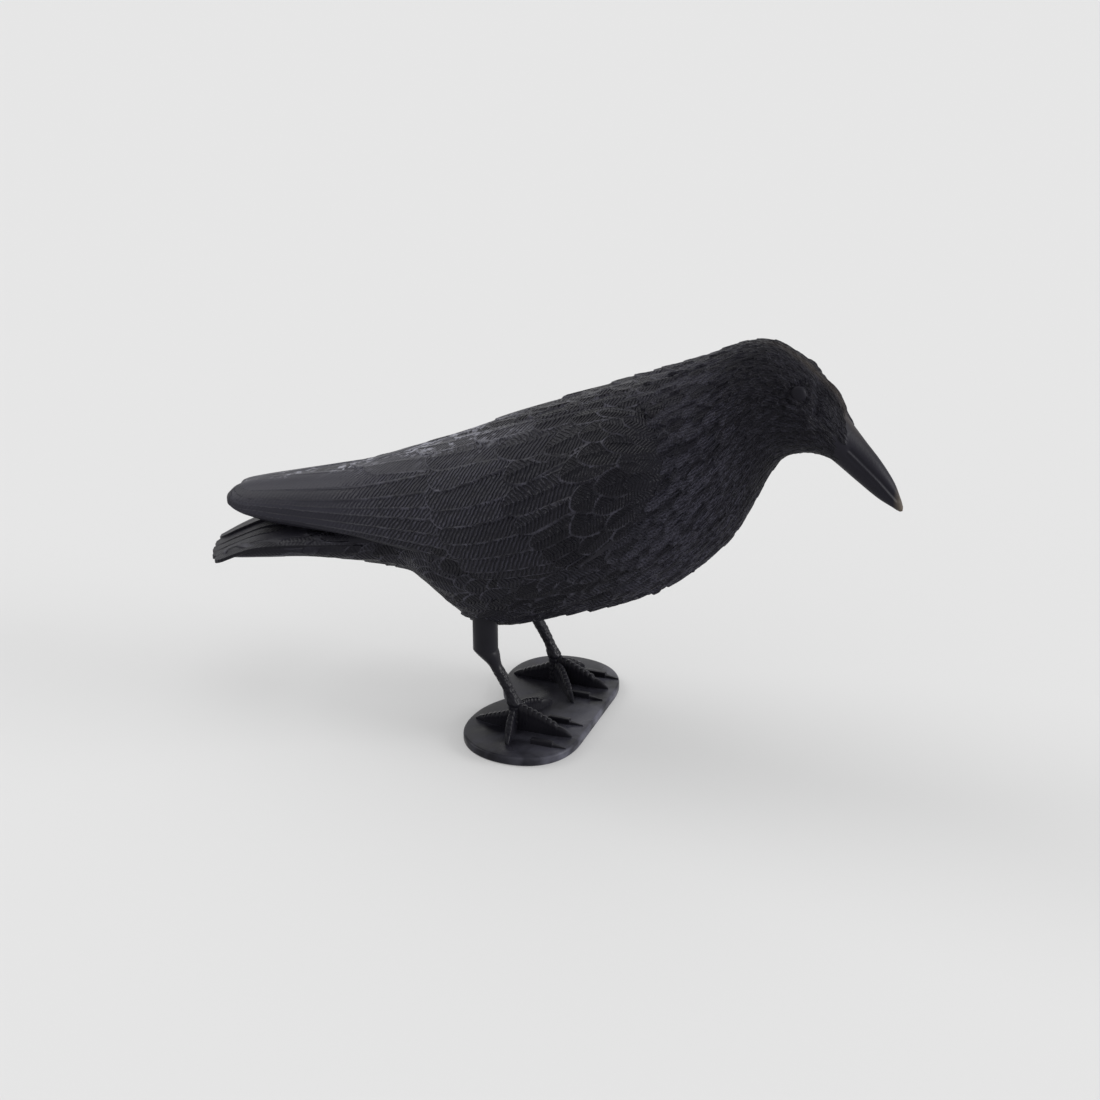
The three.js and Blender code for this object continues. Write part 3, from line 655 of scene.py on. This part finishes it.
def blade(index):
    """A blade's skin: a line from root to tip for the shaft, and round it a flat lens, whose top
    carries a narrow ridge and slopes down towards the tail's outer side."""
    root_along, tip_along = -24, -50.8 + 0.2 * index**2
    run, turn = blade_run[:, None], full_turn(44)
    along = root_along + (tip_along - root_along) * run
    y = index * TAIL_WIDTH * blade_spread(run)
    half = blade_half(run)
    z = BELLY + read_table(TAIL_TOP, along)[1] * SHARE - abs(index) * TAIL_DROP * (1 - 0.3 * run)
    aside = half * np.cos(turn)
    edge = -0.5 - TAIL_SLOPE * aside * np.sign(index)
    ridge = 0.5 * np.exp(-(aside / 0.9) ** 2)
    vane = 0.25 * np.sin(np.pi * np.clip(np.abs(aside) / np.maximum(half, 0.1), 0, 1))
    under = TAIL_DEPTH * np.abs(np.sin(turn)) ** 0.35
    level = z + edge + np.where(np.sin(turn) > 0, ridge + vane * (half > 3), -under)
    return grid_points(along * SHARE, y + aside, level)


# %% [markdown]
# ## One moulding
# Trunk, wings, tail and eyes are joined into one skin, and the two sockets for the legs are cut
# from it. The union has far more triangles than a shared part should carry, so most are merged
# where the form is calm. The steps and shafts keep theirs.

# %% Join the bird
def tube(name, rows, place, shell, sides=64):
    """An upright round piece: rows of level and radius, turned about a place on the floor."""
    level, radius = np.array(rows, float).T[..., None]
    x, y = (at + radius * way(full_turn(sides)) for at, way in zip(place, (np.cos, np.sin)))
    return grid_object(name, grid_points(x, y, level), shell)


def eye(side):
    """A flattened ball, as rings round its axis across the bird: radius * sin(slope) wide, and half
    as far out as a ball's radius * cos(slope)."""
    slope, turn = np.radians(np.linspace(1, 179, 40))[:, None], full_turn(60)
    place = trunk(35.7, 0.077)
    x = place[0] + EYE_RADIUS * np.sin(slope) * np.cos(turn)
    z = place[2] + EYE_RADIUS * np.sin(slope) * np.sin(turn)
    y = place[1] - 0.9 + 0.5 * EYE_RADIUS * np.cos(slope)
    return grid_points(x, side * y, z)


FOOT_HALF, ANKLE_X, HIP_X = 29.0, -5.0, -20.6
PEG_RADIUS, PEG_DEPTH, PEG_FOOT, PEG_GAP = 6.5, 14.0, 48.5, 0.3
_, _, hip_bottom, hip_widest, hip_half = read_table(TRUNK, np.array(HIP_X / SHARE))
aside = FOOT_HALF / (hip_half * SHARE)
hip_under = hip_widest - (hip_widest - hip_bottom) * math.sqrt(1 - aside ** 2)
PEG_TOP = BELLY + hip_under * SHARE + PEG_DEPTH

MIRROR = np.array([1, -1, 1])
wing_carved = wing_skin + wing_off * wing_height[..., None]
crow = grid_object("crow", trunk_carved, TRUNK_SHELL)
parts = [grid_object("wing", points, shell)
         for points, shell in zip((wing_carved, wing_carved * MIRROR), WING_SHELLS)]
parts += [grid_object("blade", blade(shell - 7), shell) for shell in TAIL_SHELLS]
parts += [grid_object("eye", eye(side), EYE_SHELL) for side in (-1, 1)]
merge(crow, parts)
print("after the union:", len(crow.data.polygons), "faces")
socket_rows = [(40, PEG_RADIUS + PEG_GAP), (PEG_TOP + PEG_GAP, PEG_RADIUS + PEG_GAP)]
sockets = [tube("socket", socket_rows, (HIP_X, side * FOOT_HALF), SOCKET_SHELL) for side in (-1, 1)]
merge(crow, sockets, "DIFFERENCE")

# %% Thin out the triangles
TRIANGLES = 195000
crow.data.calc_loop_triangles()
dense = len(crow.data.loop_triangles)
thin = crow.modifiers.new("thin", "DECIMATE")
thin.ratio = TRIANGLES / dense
thin.use_collapse_triangulate = True
applied(crow)
print("triangles:", dense, "thinned to", len(crow.data.polygons))

# %% [markdown]
# ## Barbs follow each feather
# Every triangle finds the feather that it belongs to through its place on the sheet. It then gets
# a map of its own: millimetres across that feather's shaft, and along it from the tip. A material
# can draw barbs from these, which lean back from the shaft on both sides.

# %% Lay the map of the feathers
def read_all(data, name, size, kind=np.float32):
    """One value, made of so many numbers, of every item of the mesh's data, in one row."""
    values = np.empty(len(data) * size, kind)
    data.foreach_get(name, values)
    return values


mesh = crow.data
corner_uv = read_all(mesh.uv_layers["sheet"].data, "uv", 2).reshape(-1, 3, 2).astype(float)
corner_shell = np.floor(corner_uv[..., 0])
face_shell = np.median(corner_shell, axis=1)
same = corner_shell == face_shell[:, None]
weight = same / same.sum(1, keepdims=True)
face_run = ((corner_uv[..., 0] - face_shell[:, None] - SHEET_FROM) / SHEET_SPAN * weight).sum(1)
face_column = (corner_uv[..., 1] * weight).sum(1)
corner_run = np.clip((corner_uv[..., 0] - corner_shell - SHEET_FROM) / SHEET_SPAN, 0, 1)
corner = read_all(mesh.loops, "vertex_index", 1, np.int32).reshape(-1, 3)
corner_place = read_all(mesh.vertices, "co", 3).reshape(-1, 3)[corner].astype(float) * 1000


def grid_place(owners, run, column):
    """The nearest row and column of a grid for a share of its run and a turn round it."""
    rows, columns = owners.shape
    return (np.clip(np.rint(run * (rows - 1)).astype(int), 0, rows - 1),
            np.rint(column * columns).astype(int) % columns)


# How strongly each triangle shows barbs, streaks and grey, and for each corner the mask of scuffs and
# painted rim highlight on the wing tops, and its distance from its feather's rim.
feather_uv = np.zeros((len(mesh.polygons), 3, 2))
face_barb, face_streak = np.zeros((2, len(mesh.polygons)))
face_tone = np.full(len(mesh.polygons), 0.25)
corner_scuffs_and_sheen, corner_edge = np.zeros((len(mesh.polygons), 3)), np.full((len(mesh.polygons), 3), 9.0)

for shells, feathers, owners in (((TRUNK_SHELL,), plumage, trunk_owner),
                                 (WING_SHELLS, coverage, wing_owner)):
    on_wing = shells == WING_SHELLS
    faces = np.flatnonzero(np.isin(face_shell, shells))
    own = owners[grid_place(owners, face_run[faces], face_column[faces])]
    if on_wing:
        i, j = grid_place(owners, corner_run[faces], corner_uv[faces, :, 1])
        # Scuffs and a painted highlight on the rims lie along the wing's top.
        top = np.exp(-(np.minimum(wing_turn, 1 - wing_turn) / 0.15) ** 4)[j]
        corner_scuffs_and_sheen[faces] = top * np.interp(wing_along, [-47, -43, -16, 2], [0.5, 1, 1, 0])[i]
    faces, own = faces[own >= 0], own[own >= 0]
    mirrored = face_shell[faces] == WING_SHELLS[1]
    places = corner_place[faces] * np.where(mirrored, -1, 1)[:, None, None] ** [0, 1, 0]
    u, v = feather_place(feathers, own[:, None], places)
    half, tip = feathers.half[own][:, None], feathers.tip_a[own]
    corner_edge[faces] = feather_depth(feathers, own[:, None], u, v) / np.clip(0.2 * half, 0.3, 0.8)
    face_barb[faces] = feathers.barb[own]
    own_share = (own * 0.618) % 1  # differs from feather to feather
    if on_wing:
        # On the wing the tone paints light and shade: paler towards the lit tip, darkest at the
        # shoulder.
        tone = np.interp(tip, [-46, -14, 0, 9, 18], [0.75, 0.6, 0.33, 0.05, 0.2])
        tone *= 0.6 + 0.6 * own_share
        finer = np.interp(tip, [0, 12], [1.0, 1.5])
        face_barb[faces] *= np.interp(places[:, 0, 0], [-108, -60, 10, 55, 80],
                                      [0.04, 1, 1, 0.7, 0.5])
        corner_edge[faces] += np.interp(places[..., 0], [-130, -60, 58, 72], [0.9, 0, 0, 1.5])
    else:
        # On the trunk the tone paints light on the breast, under the tail and on the lower side, and
        # shade on the back.
        tone = np.interp(tip, [-40, -34, -20, 5, 14, 23, 29, 40],
                         [1.4, 0.6, 0.6, 0.35, 1.2, 1.5, 0.4, 0.4])
        tone *= 0.35 + 0.65 * (0.5 - 0.5 * np.sin(2 * np.pi * feathers.tip_t[own]))
        tone *= 0.15 + 1.3 * own_share**1.5
        finer = np.interp(tip, [5, 25], [1.15, 1.7])
        face_streak[faces] = np.interp(tip, [12, 28], [0.0, 1.0])
        face_barb[faces] *= 1 - face_streak[faces]
    face_tone[faces] = np.clip(tone, 0, 1)
    feather_uv[faces] = np.stack([u - feathers.lie[own][:, None] * half, v], -1)
    feather_uv[faces] *= finer[:, None, None]

blades = np.flatnonzero(np.isin(face_shell, TAIL_SHELLS))
run = np.interp(face_run[blades] * (len(blade_run) - 1), np.arange(len(blade_run)), blade_run)
shaft_y = (face_shell[blades] - 7) * TAIL_WIDTH * blade_spread(run)
feather_uv[blades, :, 0] = corner_place[blades, :, 1] - shaft_y[:, None]
feather_uv[blades, :, 1] = corner_place[blades, :, 0] + 50 * SHARE
face_barb[blades], face_tone[blades] = 0.12, 0.06
face_tone[face_shell == EYE_SHELL] = 0.1

mesh.uv_layers.remove(mesh.uv_layers["sheet"])
write_all(mesh.uv_layers.new(name="feather").data, "uv", feather_uv)
channels = np.repeat(np.stack([face_barb, face_streak, face_tone], -1), 3, axis=0)
channels = np.c_[channels, corner_scuffs_and_sheen.ravel()]
write_all(mesh.attributes.new("relief", "FLOAT_COLOR", "CORNER").data, "color", channels)
write_all(mesh.attributes.new("edge", "FLOAT", "CORNER").data, "value", corner_edge)
smooth(crow, 42)
placed = (feather_uv != 0).any(axis=(1, 2)).sum()
print("faces with a feather:", int(placed), "of", len(mesh.polygons))

# %% [markdown]
# ## The stand
# Both legs, their feet and the plate are one injection moulding. The plate has a straight front
# and a round lobe under each foot. It is skinned from its outline: inwards to the middle below,
# round the edge in a small radius, and back to the middle above.

# %% The plate
PLATE_LENGTH, PLATE_WIDTH, PLATE_THICKNESS = 62.0, 117.0, 5.0
PLATE_BEVEL, PLATE_NOTCH = 1.4, 10.0


def bezier(points, count=90):
    """A cubic curve from the first of four points to the last, pulled towards the two between."""
    u = np.linspace(0, 1, count, endpoint=False)[:, None]
    a, b, c, d = np.array(points, float)
    return (1 - u)**3 * a + 3 * u * (1 - u)**2 * b + 3 * u**2 * (1 - u) * c + u**3 * d


front, half = PLATE_LENGTH / 2 - PLATE_BEVEL, PLATE_WIDTH / 2 - PLATE_BEVEL
left = np.concatenate([
    bezier([(front, 0), (front, 0.15 * half), (front, 0.3 * half), (front, 0.45 * half)], 30),
    bezier([(front, 0.45 * half), (front, 0.82 * half), (0.6 * front, half), (0, half)]),
    bezier([(0, half), (-0.6 * front, half), (-front, 0.8 * half), (-front, 0.5 * half)]),
    bezier([(-front, 0.5 * half), (-front, 0.3 * half), (-0.9 * front, 0.18 * half),
            (PLATE_NOTCH - front, 0)])])
outline = np.concatenate([left, [(PLATE_NOTCH - front, 0)], left[:0:-1] * (1, -1)])
run = np.r_[0, np.cumsum(np.linalg.norm(np.diff(outline, axis=0, append=outline[:1]), axis=1))]
even = np.linspace(0, run[-1], 400, endpoint=False)
outline = np.stack([np.interp(even, run, np.r_[outline[:, k], outline[0, k]]) for k in (0, 1)], -1)
tangent = np.roll(outline, -2, 0) - np.roll(outline, 2, 0)
outwards = np.stack([tangent[:, 1], -tangent[:, 0]], -1)
outwards /= np.linalg.norm(outwards, axis=1, keepdims=True)
quarter = np.linspace(0, np.pi / 2, 8)
rows = [(share, 0, 0) for share in (0.25, 0.6, 0.9)]
rows += [(1, PLATE_BEVEL * math.sin(a), PLATE_BEVEL * (1 - math.cos(a))) for a in quarter]
rows += [(1, PLATE_BEVEL * math.cos(a), PLATE_THICKNESS - PLATE_BEVEL * (1 - math.sin(a)))
         for a in quarter]
rows += [(share, 0, PLATE_THICKNESS) for share in (0.9, 0.6, 0.25)]
plate = np.stack([np.c_[outline * share + outwards * proud_of, np.full(len(outline), level)]
                  for share, proud_of, level in rows])
stand = grid_object("stand", plate, TRUNK_SHELL)
print("plate", np.ptp(plate.reshape(-1, 3), axis=0).round(1), "mm")

# %% [markdown]
# ## Legs and toes
# A smooth peg pushes into the belly, then a slope leads to the thin shank. Its front has broad
# scutes like roof tiles and its back small pebbles. The toes are steep fins with a row of beads
# along the top, as the moulder had to draw them straight up out of the mould.

# %% The legs
SHANK, SHANK_TOP, ANKLE = 2.7, 39.5, 19.5  # mm: the shank's radius above the foot, and two levels
LEG_LEAN = 15.6  # how far the hip lies behind the ankle
SCUTE_PITCH, SCUTE_HEIGHT = 3.6, 0.3  # the broad scales in front
PEBBLE_PITCH, PEBBLE_HEIGHT = 2.6, 0.28  # the small ones all round


def beads(run, pitch, power=0.6):
    """A row of round beads from 0 in the joints to 1 on top: the sine's size to a power."""
    return np.abs(np.sin(np.pi * run / pitch)) ** power


def leg(side):
    """Level rings whose centre leans forward to the ankle. The radius is the peg's, then runs down
    a slope to the shank's, where the scales are added."""
    level = np.r_[PEG_TOP, PEG_TOP - 0.5, np.linspace(PEG_TOP - 0.6, PEG_FOOT + 0.5, 20),
                  np.linspace(PEG_FOOT + 0.4, SHANK_TOP, 24), np.linspace(SHANK_TOP, 4.2, 230)[1:]]
    level = level[:, None]
    angle = full_turn(72)
    rise = np.clip((level - ANKLE) / (PEG_FOOT - ANKLE), 0, 1)
    middle = ANKLE_X - LEG_LEAN * rise ** 1.2
    slope = np.clip((PEG_FOOT - level) / (PEG_FOOT - SHANK_TOP), 0, 1)
    eased = 0.4 * slope + 0.6 * slope**2 * (3 - 2 * slope)
    radius = PEG_RADIUS + (SHANK + 0.6 - PEG_RADIUS) * eased
    radius = radius - 0.6 * np.clip((SHANK_TOP - level) / 12, 0, 1)
    radius = radius - 0.4 * (level > PEG_TOP - 0.3)
    front_face = np.clip(0.5 + 1.6 * (np.cos(angle) - 0.15), 0, 1)
    row = np.floor(level / PEBBLE_PITCH)
    pebbles = beads(level, PEBBLE_PITCH) * beads(angle + row % 2 * np.pi / 10, np.pi / 5)
    scales = PEBBLE_HEIGHT * pebbles + SCUTE_HEIGHT * beads(level, SCUTE_PITCH) * front_face
    scales = scales * np.clip((SHANK_TOP - level) / 3, 0, 1)
    knuckle = 0.9 * np.exp(-((level - ANKLE - 1.2) / 2.2) ** 2)
    reach = radius + scales + knuckle
    x = middle + reach * np.cos(angle)
    y = side * FOOT_HALF + reach * np.sin(angle)
    return grid_points(x, y, level)


# %% The toes
TOE_WIDTH, FOOT_HEIGHT, TOE_SINK = 4.0, 15.0, 0.8
MIDDLE_TOE, REAR_TOE, INNER_TOE, OUTER_TOE = 31.5, 22.5, 33, 19  # mm from the ankle to the claw
BEAD_PITCH, BEAD_HEIGHT = 2.6, 0.85
CLAW_FROM = 0.76  # the share of a toe at which its beads end


def boxy(turn, top, sides):
    """A section between a round and a square one: its height is the sine to a power, and its width
    the cosine to another, which keeps the cosine's sign. Below, it is flat."""
    up = np.clip(np.sin(turn), 0, 1) ** top
    return up, np.sign(np.cos(turn)) * np.abs(np.cos(turn)) ** sides


def toe(side, length, route, root, fall):
    """A fin over a route on the plate. Its section is upright with a round top, its height falls
    from the ankle to the claw, and the beads stand out on its back up to the claw."""
    points = np.array([(0, 0), *route], float) * length
    chord = np.r_[0, np.cumsum(np.linalg.norm(np.diff(points, axis=0), axis=1))]
    run = np.linspace(0, 1, 150)
    _, ahead, aside = read_table(np.c_[chord, points], run * chord[-1])
    direction = np.stack([np.gradient(ahead), np.gradient(aside)], -1)
    direction /= np.linalg.norm(direction, axis=1, keepdims=True)
    run, ahead, aside = run[:, None], ahead[:, None], aside[:, None]
    narrow = np.sqrt(1 - np.clip((run - 0.6) / 0.402, 0, 1) ** 2)
    root_height = FOOT_HEIGHT * root
    height = root_height + (0.35 * TOE_WIDTH - root_height) * run ** fall
    height = np.maximum(height * np.minimum(1, narrow + 0.35), 0.6)
    bead = beads(run * chord[-1], BEAD_PITCH) * np.clip((CLAW_FROM - run) / 0.04, 0, 1)
    claw = 0.4 * np.exp(-((run - 0.86) / 0.08) ** 2) - 0.4 * np.exp(-((run - 0.765) / 0.015) ** 2)
    up, across = boxy(full_turn(44), 0.45, 0.5)
    ribs = 0.03 * np.cos(2 * np.pi * run * chord[-1] / 1.8) * (up < 0.9) * (run < 0.8)
    swell = 1 - 0.12 * up + 0.14 * bead * (up > 0.75)
    half = TOE_WIDTH / 2 * np.maximum(narrow, 0.2) * swell + ribs
    z = PLATE_THICKNESS - TOE_SINK + (height + TOE_SINK + BEAD_HEIGHT * bead + claw) * up
    x = ANKLE_X + ahead - direction[:, 1:] * half * across
    y = side * (FOOT_HALF + aside + direction[:, :1] * half * across)
    return grid_points(x, y, z)


def toes(side):
    """The four toes of a foot. The two feet are spread a little differently. Routes are shares of
    a toe's length, forwards and outwards from the ankle."""
    if side < 0:
        inner, outer = [(0, -0.27), (0.03, -0.55), (0.26, -1)], [(0.05, 0.47), (0.18, 0.97)]
    else:
        inner, outer = [(0.18, -0.14), (0.35, -0.36), (0.59, -0.68)], [(0.26, 0.47), (0.55, 1.03)]
    return [toe(side, MIDDLE_TOE, [(0.5, -0.02), (1, -0.03)], 1, 1.3),
            toe(side, REAR_TOE, [(-0.5, -0.05), (-1, -0.1)], 0.75, 0.75),
            toe(side, INNER_TOE, inner, 0.75, 1.6), toe(side, OUTER_TOE, outer, 0.85, 1.3)]


# %% The ribs beside the middle toes
RIB_LENGTH, RIB_LEAD = 19, 1.5  # mm, and how far a rib's tip lies ahead of the middle claw
RIB_INNER, RIB_OUTER = 14, 11.5  # mm from the middle toe to the rib on either side of it


def rib(y):
    """A bar with a flat top and slightly drawn-in sides, which steps down to a lower point."""
    tip = ANKLE_X + MIDDLE_TOE + RIB_LEAD
    start, bar_end = tip - RIB_LENGTH, tip - RIB_LENGTH + RIB_LENGTH * 0.62
    # Place along, half width and height.
    table = np.array([(start, 1.4, 2.8), (start + 0.3, 1.6, 3), (bar_end - 0.2, 1.6, 3),
                      (bar_end, 1.55, 2.85), (bar_end + 0.3, 1.35, 1.8), (bar_end + 0.5, 1.3, 1.65),
                      (tip, 0.16, 0.5)])
    x = np.unique(np.r_[table[:, 0], np.linspace(start, tip, 30)])
    half = np.interp(x, table[:, 0], table[:, 1])[:, None]
    height = np.interp(x, table[:, 0], table[:, 2])[:, None] + TOE_SINK
    up, across = boxy(full_turn(32) + np.pi / 32, 0.25, 0.25)
    z = PLATE_THICKNESS - TOE_SINK + height * up
    return grid_points(x[:, None], y + half * across * (1 - 0.12 * up), z)


# %% Join the stand
pieces = []
for side in (-1, 1):
    ribs = [rib(side * (FOOT_HALF + offset)) for offset in (-RIB_INNER, RIB_OUTER)]
    pieces += [leg(side), *toes(side), *ribs]
merge(stand, [grid_object("stand_part", points, TRUNK_SHELL) for points in pieces])
stand.data.uv_layers.remove(stand.data.uv_layers["sheet"])
smooth(stand, 40)
stand.data.calc_loop_triangles()
print("stand:", len(stand.data.loop_triangles), "triangles")

# %% [markdown]
# ## The plastics
# The bird is blow-moulded polyethylene: waxy and matt, a little uneven, and grey rather than deep
# black where light grazes it. Barbs and fine streaks are too small for the mesh, so they are relief
# in its material, drawn in each feather's own millimetres. Real barbs are finer than 2 mm apart,
# but the mould's cutter made them about that coarse, and finer ones would blur in a picture.

# %% Helpers for patterns
def node(tree, kind, inputs=None, **settings):
    """Adds a node with its settings and its inputs, which are sockets or values."""
    made = tree.nodes.new("ShaderNode" + kind)
    for key, given in settings.items():
        setattr(made, key, given)
    plug(tree, made, inputs or {})
    return made


def maths(tree, operation, *inputs):
    """A sum on sockets and numbers, named as in the Math node."""
    return node(tree, "Math", dict(enumerate(inputs)), operation=operation).outputs[0]


def times(tree, product, *others):
    """The product of sockets and numbers."""
    for other in others:
        product = maths(tree, "MULTIPLY", product, other)
    return product


def ramp(tree, given, start, end, low=0.0, high=1.0):
    """Turns the way from start to end into the way from low to high, and goes no further."""
    ends = {"From Min": start, "From Max": end, "To Min": low, "To Max": high}
    return node(tree, "MapRange", {"Value": given, **ends}).outputs[0]


def noise(tree, place, scale, detail, distortion=0.0):
    """Clouds of values about 0.5, each about 1 / scale wide in the units of the place: metres for
    places on the object, and millimetres for places on a feather."""
    inputs = {"Vector": place, "Scale": scale, "Detail": detail, "Distortion": distortion}
    return node(tree, "TexNoise", inputs).outputs["Fac"]


def mix(tree, share, under, over):
    """One colour laid over another by a share from 0 to 1."""
    return node(tree, "Mix", {"Factor": share, 6: under, 7: over}, data_type="RGBA").outputs[2]


def bump(tree, height, distance, **normal):
    """The normal of a surface with this height, counted in the distance in metres."""
    inputs = {"Height": height, "Distance": distance, "Strength": 1.0, **normal}
    return node(tree, "Bump", inputs).outputs[0]


# %% Matt blow-moulded polyethylene
BARB_PITCH, BARB_DEPTH = 2.1, 0.0009  # mm between barbs, and metres of relief
BARB_LEAN = 0.75  # a barb leans back by this much for each millimetre out from the shaft
BARB_SWING = 2.2  # mm by which its line wanders
crow_plastic, tree, shader = material("matt_blow_moulded_polyethylene")
feather = node(tree, "UVMap", uv_map="feather").outputs["UV"]
on_feather = node(tree, "SeparateXYZ", {"Vector": feather}).outputs
spot = node(tree, "TexCoord").outputs["Object"]
axes = node(tree, "SeparateXYZ", {"Vector": spot}).outputs
marks = node(tree, "Attribute", attribute_name="relief").outputs
barbed, streaky, tone = node(tree, "SeparateColor", {"Color": marks["Color"]}).outputs
rim = ramp(tree, node(tree, "Attribute", attribute_name="edge").outputs["Fac"], 1.2, 0.45)

# Barbs: round ridges that lean back on both sides of the shaft, of uneven depth, up to the rim.
leaning = maths(tree, "MULTIPLY_ADD", maths(tree, "ABSOLUTE", on_feather["X"]), BARB_LEAN,
                on_feather["Y"])
swinging = maths(tree, "MULTIPLY_ADD", noise(tree, feather, 0.25, 1.0), BARB_SWING, leaning)
wave = maths(tree, "SINE", times(tree, swinging, math.pi / (BARB_PITCH * math.hypot(1, BARB_LEAN))))
ridges = maths(tree, "POWER", maths(tree, "ABSOLUTE", wave), 1.6)
depth = ramp(tree, noise(tree, feather, 0.2, 2.0), 0.35, 0.65, 0.3, 1.4)
barbs = times(tree, ridges, barbed, maths(tree, "SUBTRACT", 1.0, rim), depth)

# Streaks of head and breast: clouds 1 mm wide and 5 mm long. Then the rims, and the skin's grain.
stretched = node(tree, "Mapping", {"Vector": feather, "Scale": (0.9, 0.2, 1)}).outputs[0]
hair = noise(tree, stretched, 1.0, 3.0)
relief = maths(tree, "MULTIPLY_ADD", times(tree, hair, streaky), 4.5, barbs)
relief = maths(tree, "MULTIPLY_ADD", rim, 0.9, relief)
grained = bump(tree, noise(tree, spot, 900.0, 3.0), 0.0001, Normal=bump(tree, relief, BARB_DEPTH))

# The black is cloudy. It is painted greyer on the ridges of barbs and streaks and darker in their
# grooves, a painted shade in the relief. It is greyer on smooth parts, and where a feather's tone
# says so, which paints light and shade by place.
patches = noise(tree, spot, 60.0, 5.0)
black = mix(tree, patches, linear("0b0a0f"), linear("17161e"))
grey = maths(tree, "MULTIPLY_ADD", ramp(tree, hair, 0.44, 0.58, -0.3, 1.2), streaky,
             ramp(tree, barbed, 0, 1, 0.5, 0.02))
grey = times(tree, maths(tree, "MULTIPLY_ADD", barbs, 0.9, grey), tone)
colour = mix(tree, grey, black, linear("3b3a45"))

# Along the rims the black is painted paler in patches of 6 mm: a painted highlight on the feathers'
# edges, with dust.
blotches = noise(tree, spot, 160.0, 4.0)
rim_highlight_and_dust = times(tree, ramp(tree, blotches, 0.42, 0.66, 0.03, 0.48), rim,
              maths(tree, "MULTIPLY_ADD", barbed, 0.6, 0.6))
colour = mix(tree, rim_highlight_and_dust, colour, linear("4d4c57"))

# The wing tops are scuffed in speckles of 4 mm, and their rims get a painted highlight.
speckles = ramp(tree, noise(tree, spot, 260.0, 3.0), 0.53, 0.6)
scuffs_and_rim_highlight = times(tree, maths(tree, "MAXIMUM", speckles, rim), ramp(tree, patches, 0.42, 0.55),
                marks["Alpha"])
colour = mix(tree, scuffs_and_rim_highlight, colour, linear("8a8a94"))

# The bill's tip is rubbed pale, and the mould's seam shows brownish along the crown.
rubbed_tip = times(tree, ramp(tree, axes["X"], 0.1785, 0.1850), blotches)
colour = mix(tree, rubbed_tip, colour, linear("8c806f"))
seam = times(tree, ramp(tree, maths(tree, "ABSOLUTE", axes["Y"]), 0.0045, 0.0005),
             ramp(tree, axes["X"], 0.10, 0.13), ramp(tree, axes["Z"], 0.17, 0.20), blotches)
colour = mix(tree, seam, colour, linear("4a443f"))
plug(tree, shader, {"Base Color": colour, "Normal": grained, "Roughness": 0.48, "IOR": 1.52,
                    "Specular IOR Level": 0.12})
crow.data.materials.clear()
crow.data.materials.append(crow_plastic)
print("nodes in the bird's plastic:", len(tree.nodes))

# %% Glossy injection-moulded plastic
stand_plastic, tree, shader = material("glossy_injection_moulded_polypropylene")
spot = node(tree, "TexCoord").outputs["Object"]
axes = node(tree, "SeparateXYZ", {"Vector": spot}).outputs
flow = noise(tree, spot, 60.0, 3.0)
black = mix(tree, flow, linear("121217"), linear("1c1b21"))

# The plate is painted paler towards its front edge and in smears of 36 mm: painted reflections, with
# a rubbed edge and a film of dirt.
on_plate = ramp(tree, axes["Z"], 0.0054, 0.0048)
rubbed_edge_and_reflection = times(tree, on_plate, ramp(tree, axes["X"], -0.005, 0.031), ramp(tree, flow, 0.4, 0.62))
smears = noise(tree, spot, 28.0, 3.0, 1.5)
film_and_reflection = times(tree, ramp(tree, smears, 0.46, 0.68, 0.0, 0.5), on_plate)
plug(tree, shader, {
    "Base Color": mix(tree, maths(tree, "MAXIMUM", rubbed_edge_and_reflection, film_and_reflection), black, linear("54545e")),
    "Roughness": ramp(tree, smears, 0.35, 0.65, 0.26, 0.52),
    "Normal": bump(tree, noise(tree, spot, 1100.0, 2.0), 0.00003),
    "IOR": 1.49, "Specular IOR Level": 0.13})
stand.data.materials.clear()
stand.data.materials.append(stand_plastic)
print("nodes in the stand's plastic:", len(tree.nodes))

# %% [markdown]
# ## The pieces on the model
# Each piece rides on the model's root, and the CAD solid that it stands for is hidden.

# %% Tie the pieces to the model
crow.name = crow.data.name = "feathered_crow"
stand.name = stand.data.name = "scaly_leg_stand"
for piece, solid, slot in ((crow, "crow_body", "body_plastic"),
                           (stand, "leg_stand", "stand_plastic")):
    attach(piece, "root")
    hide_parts(solid)
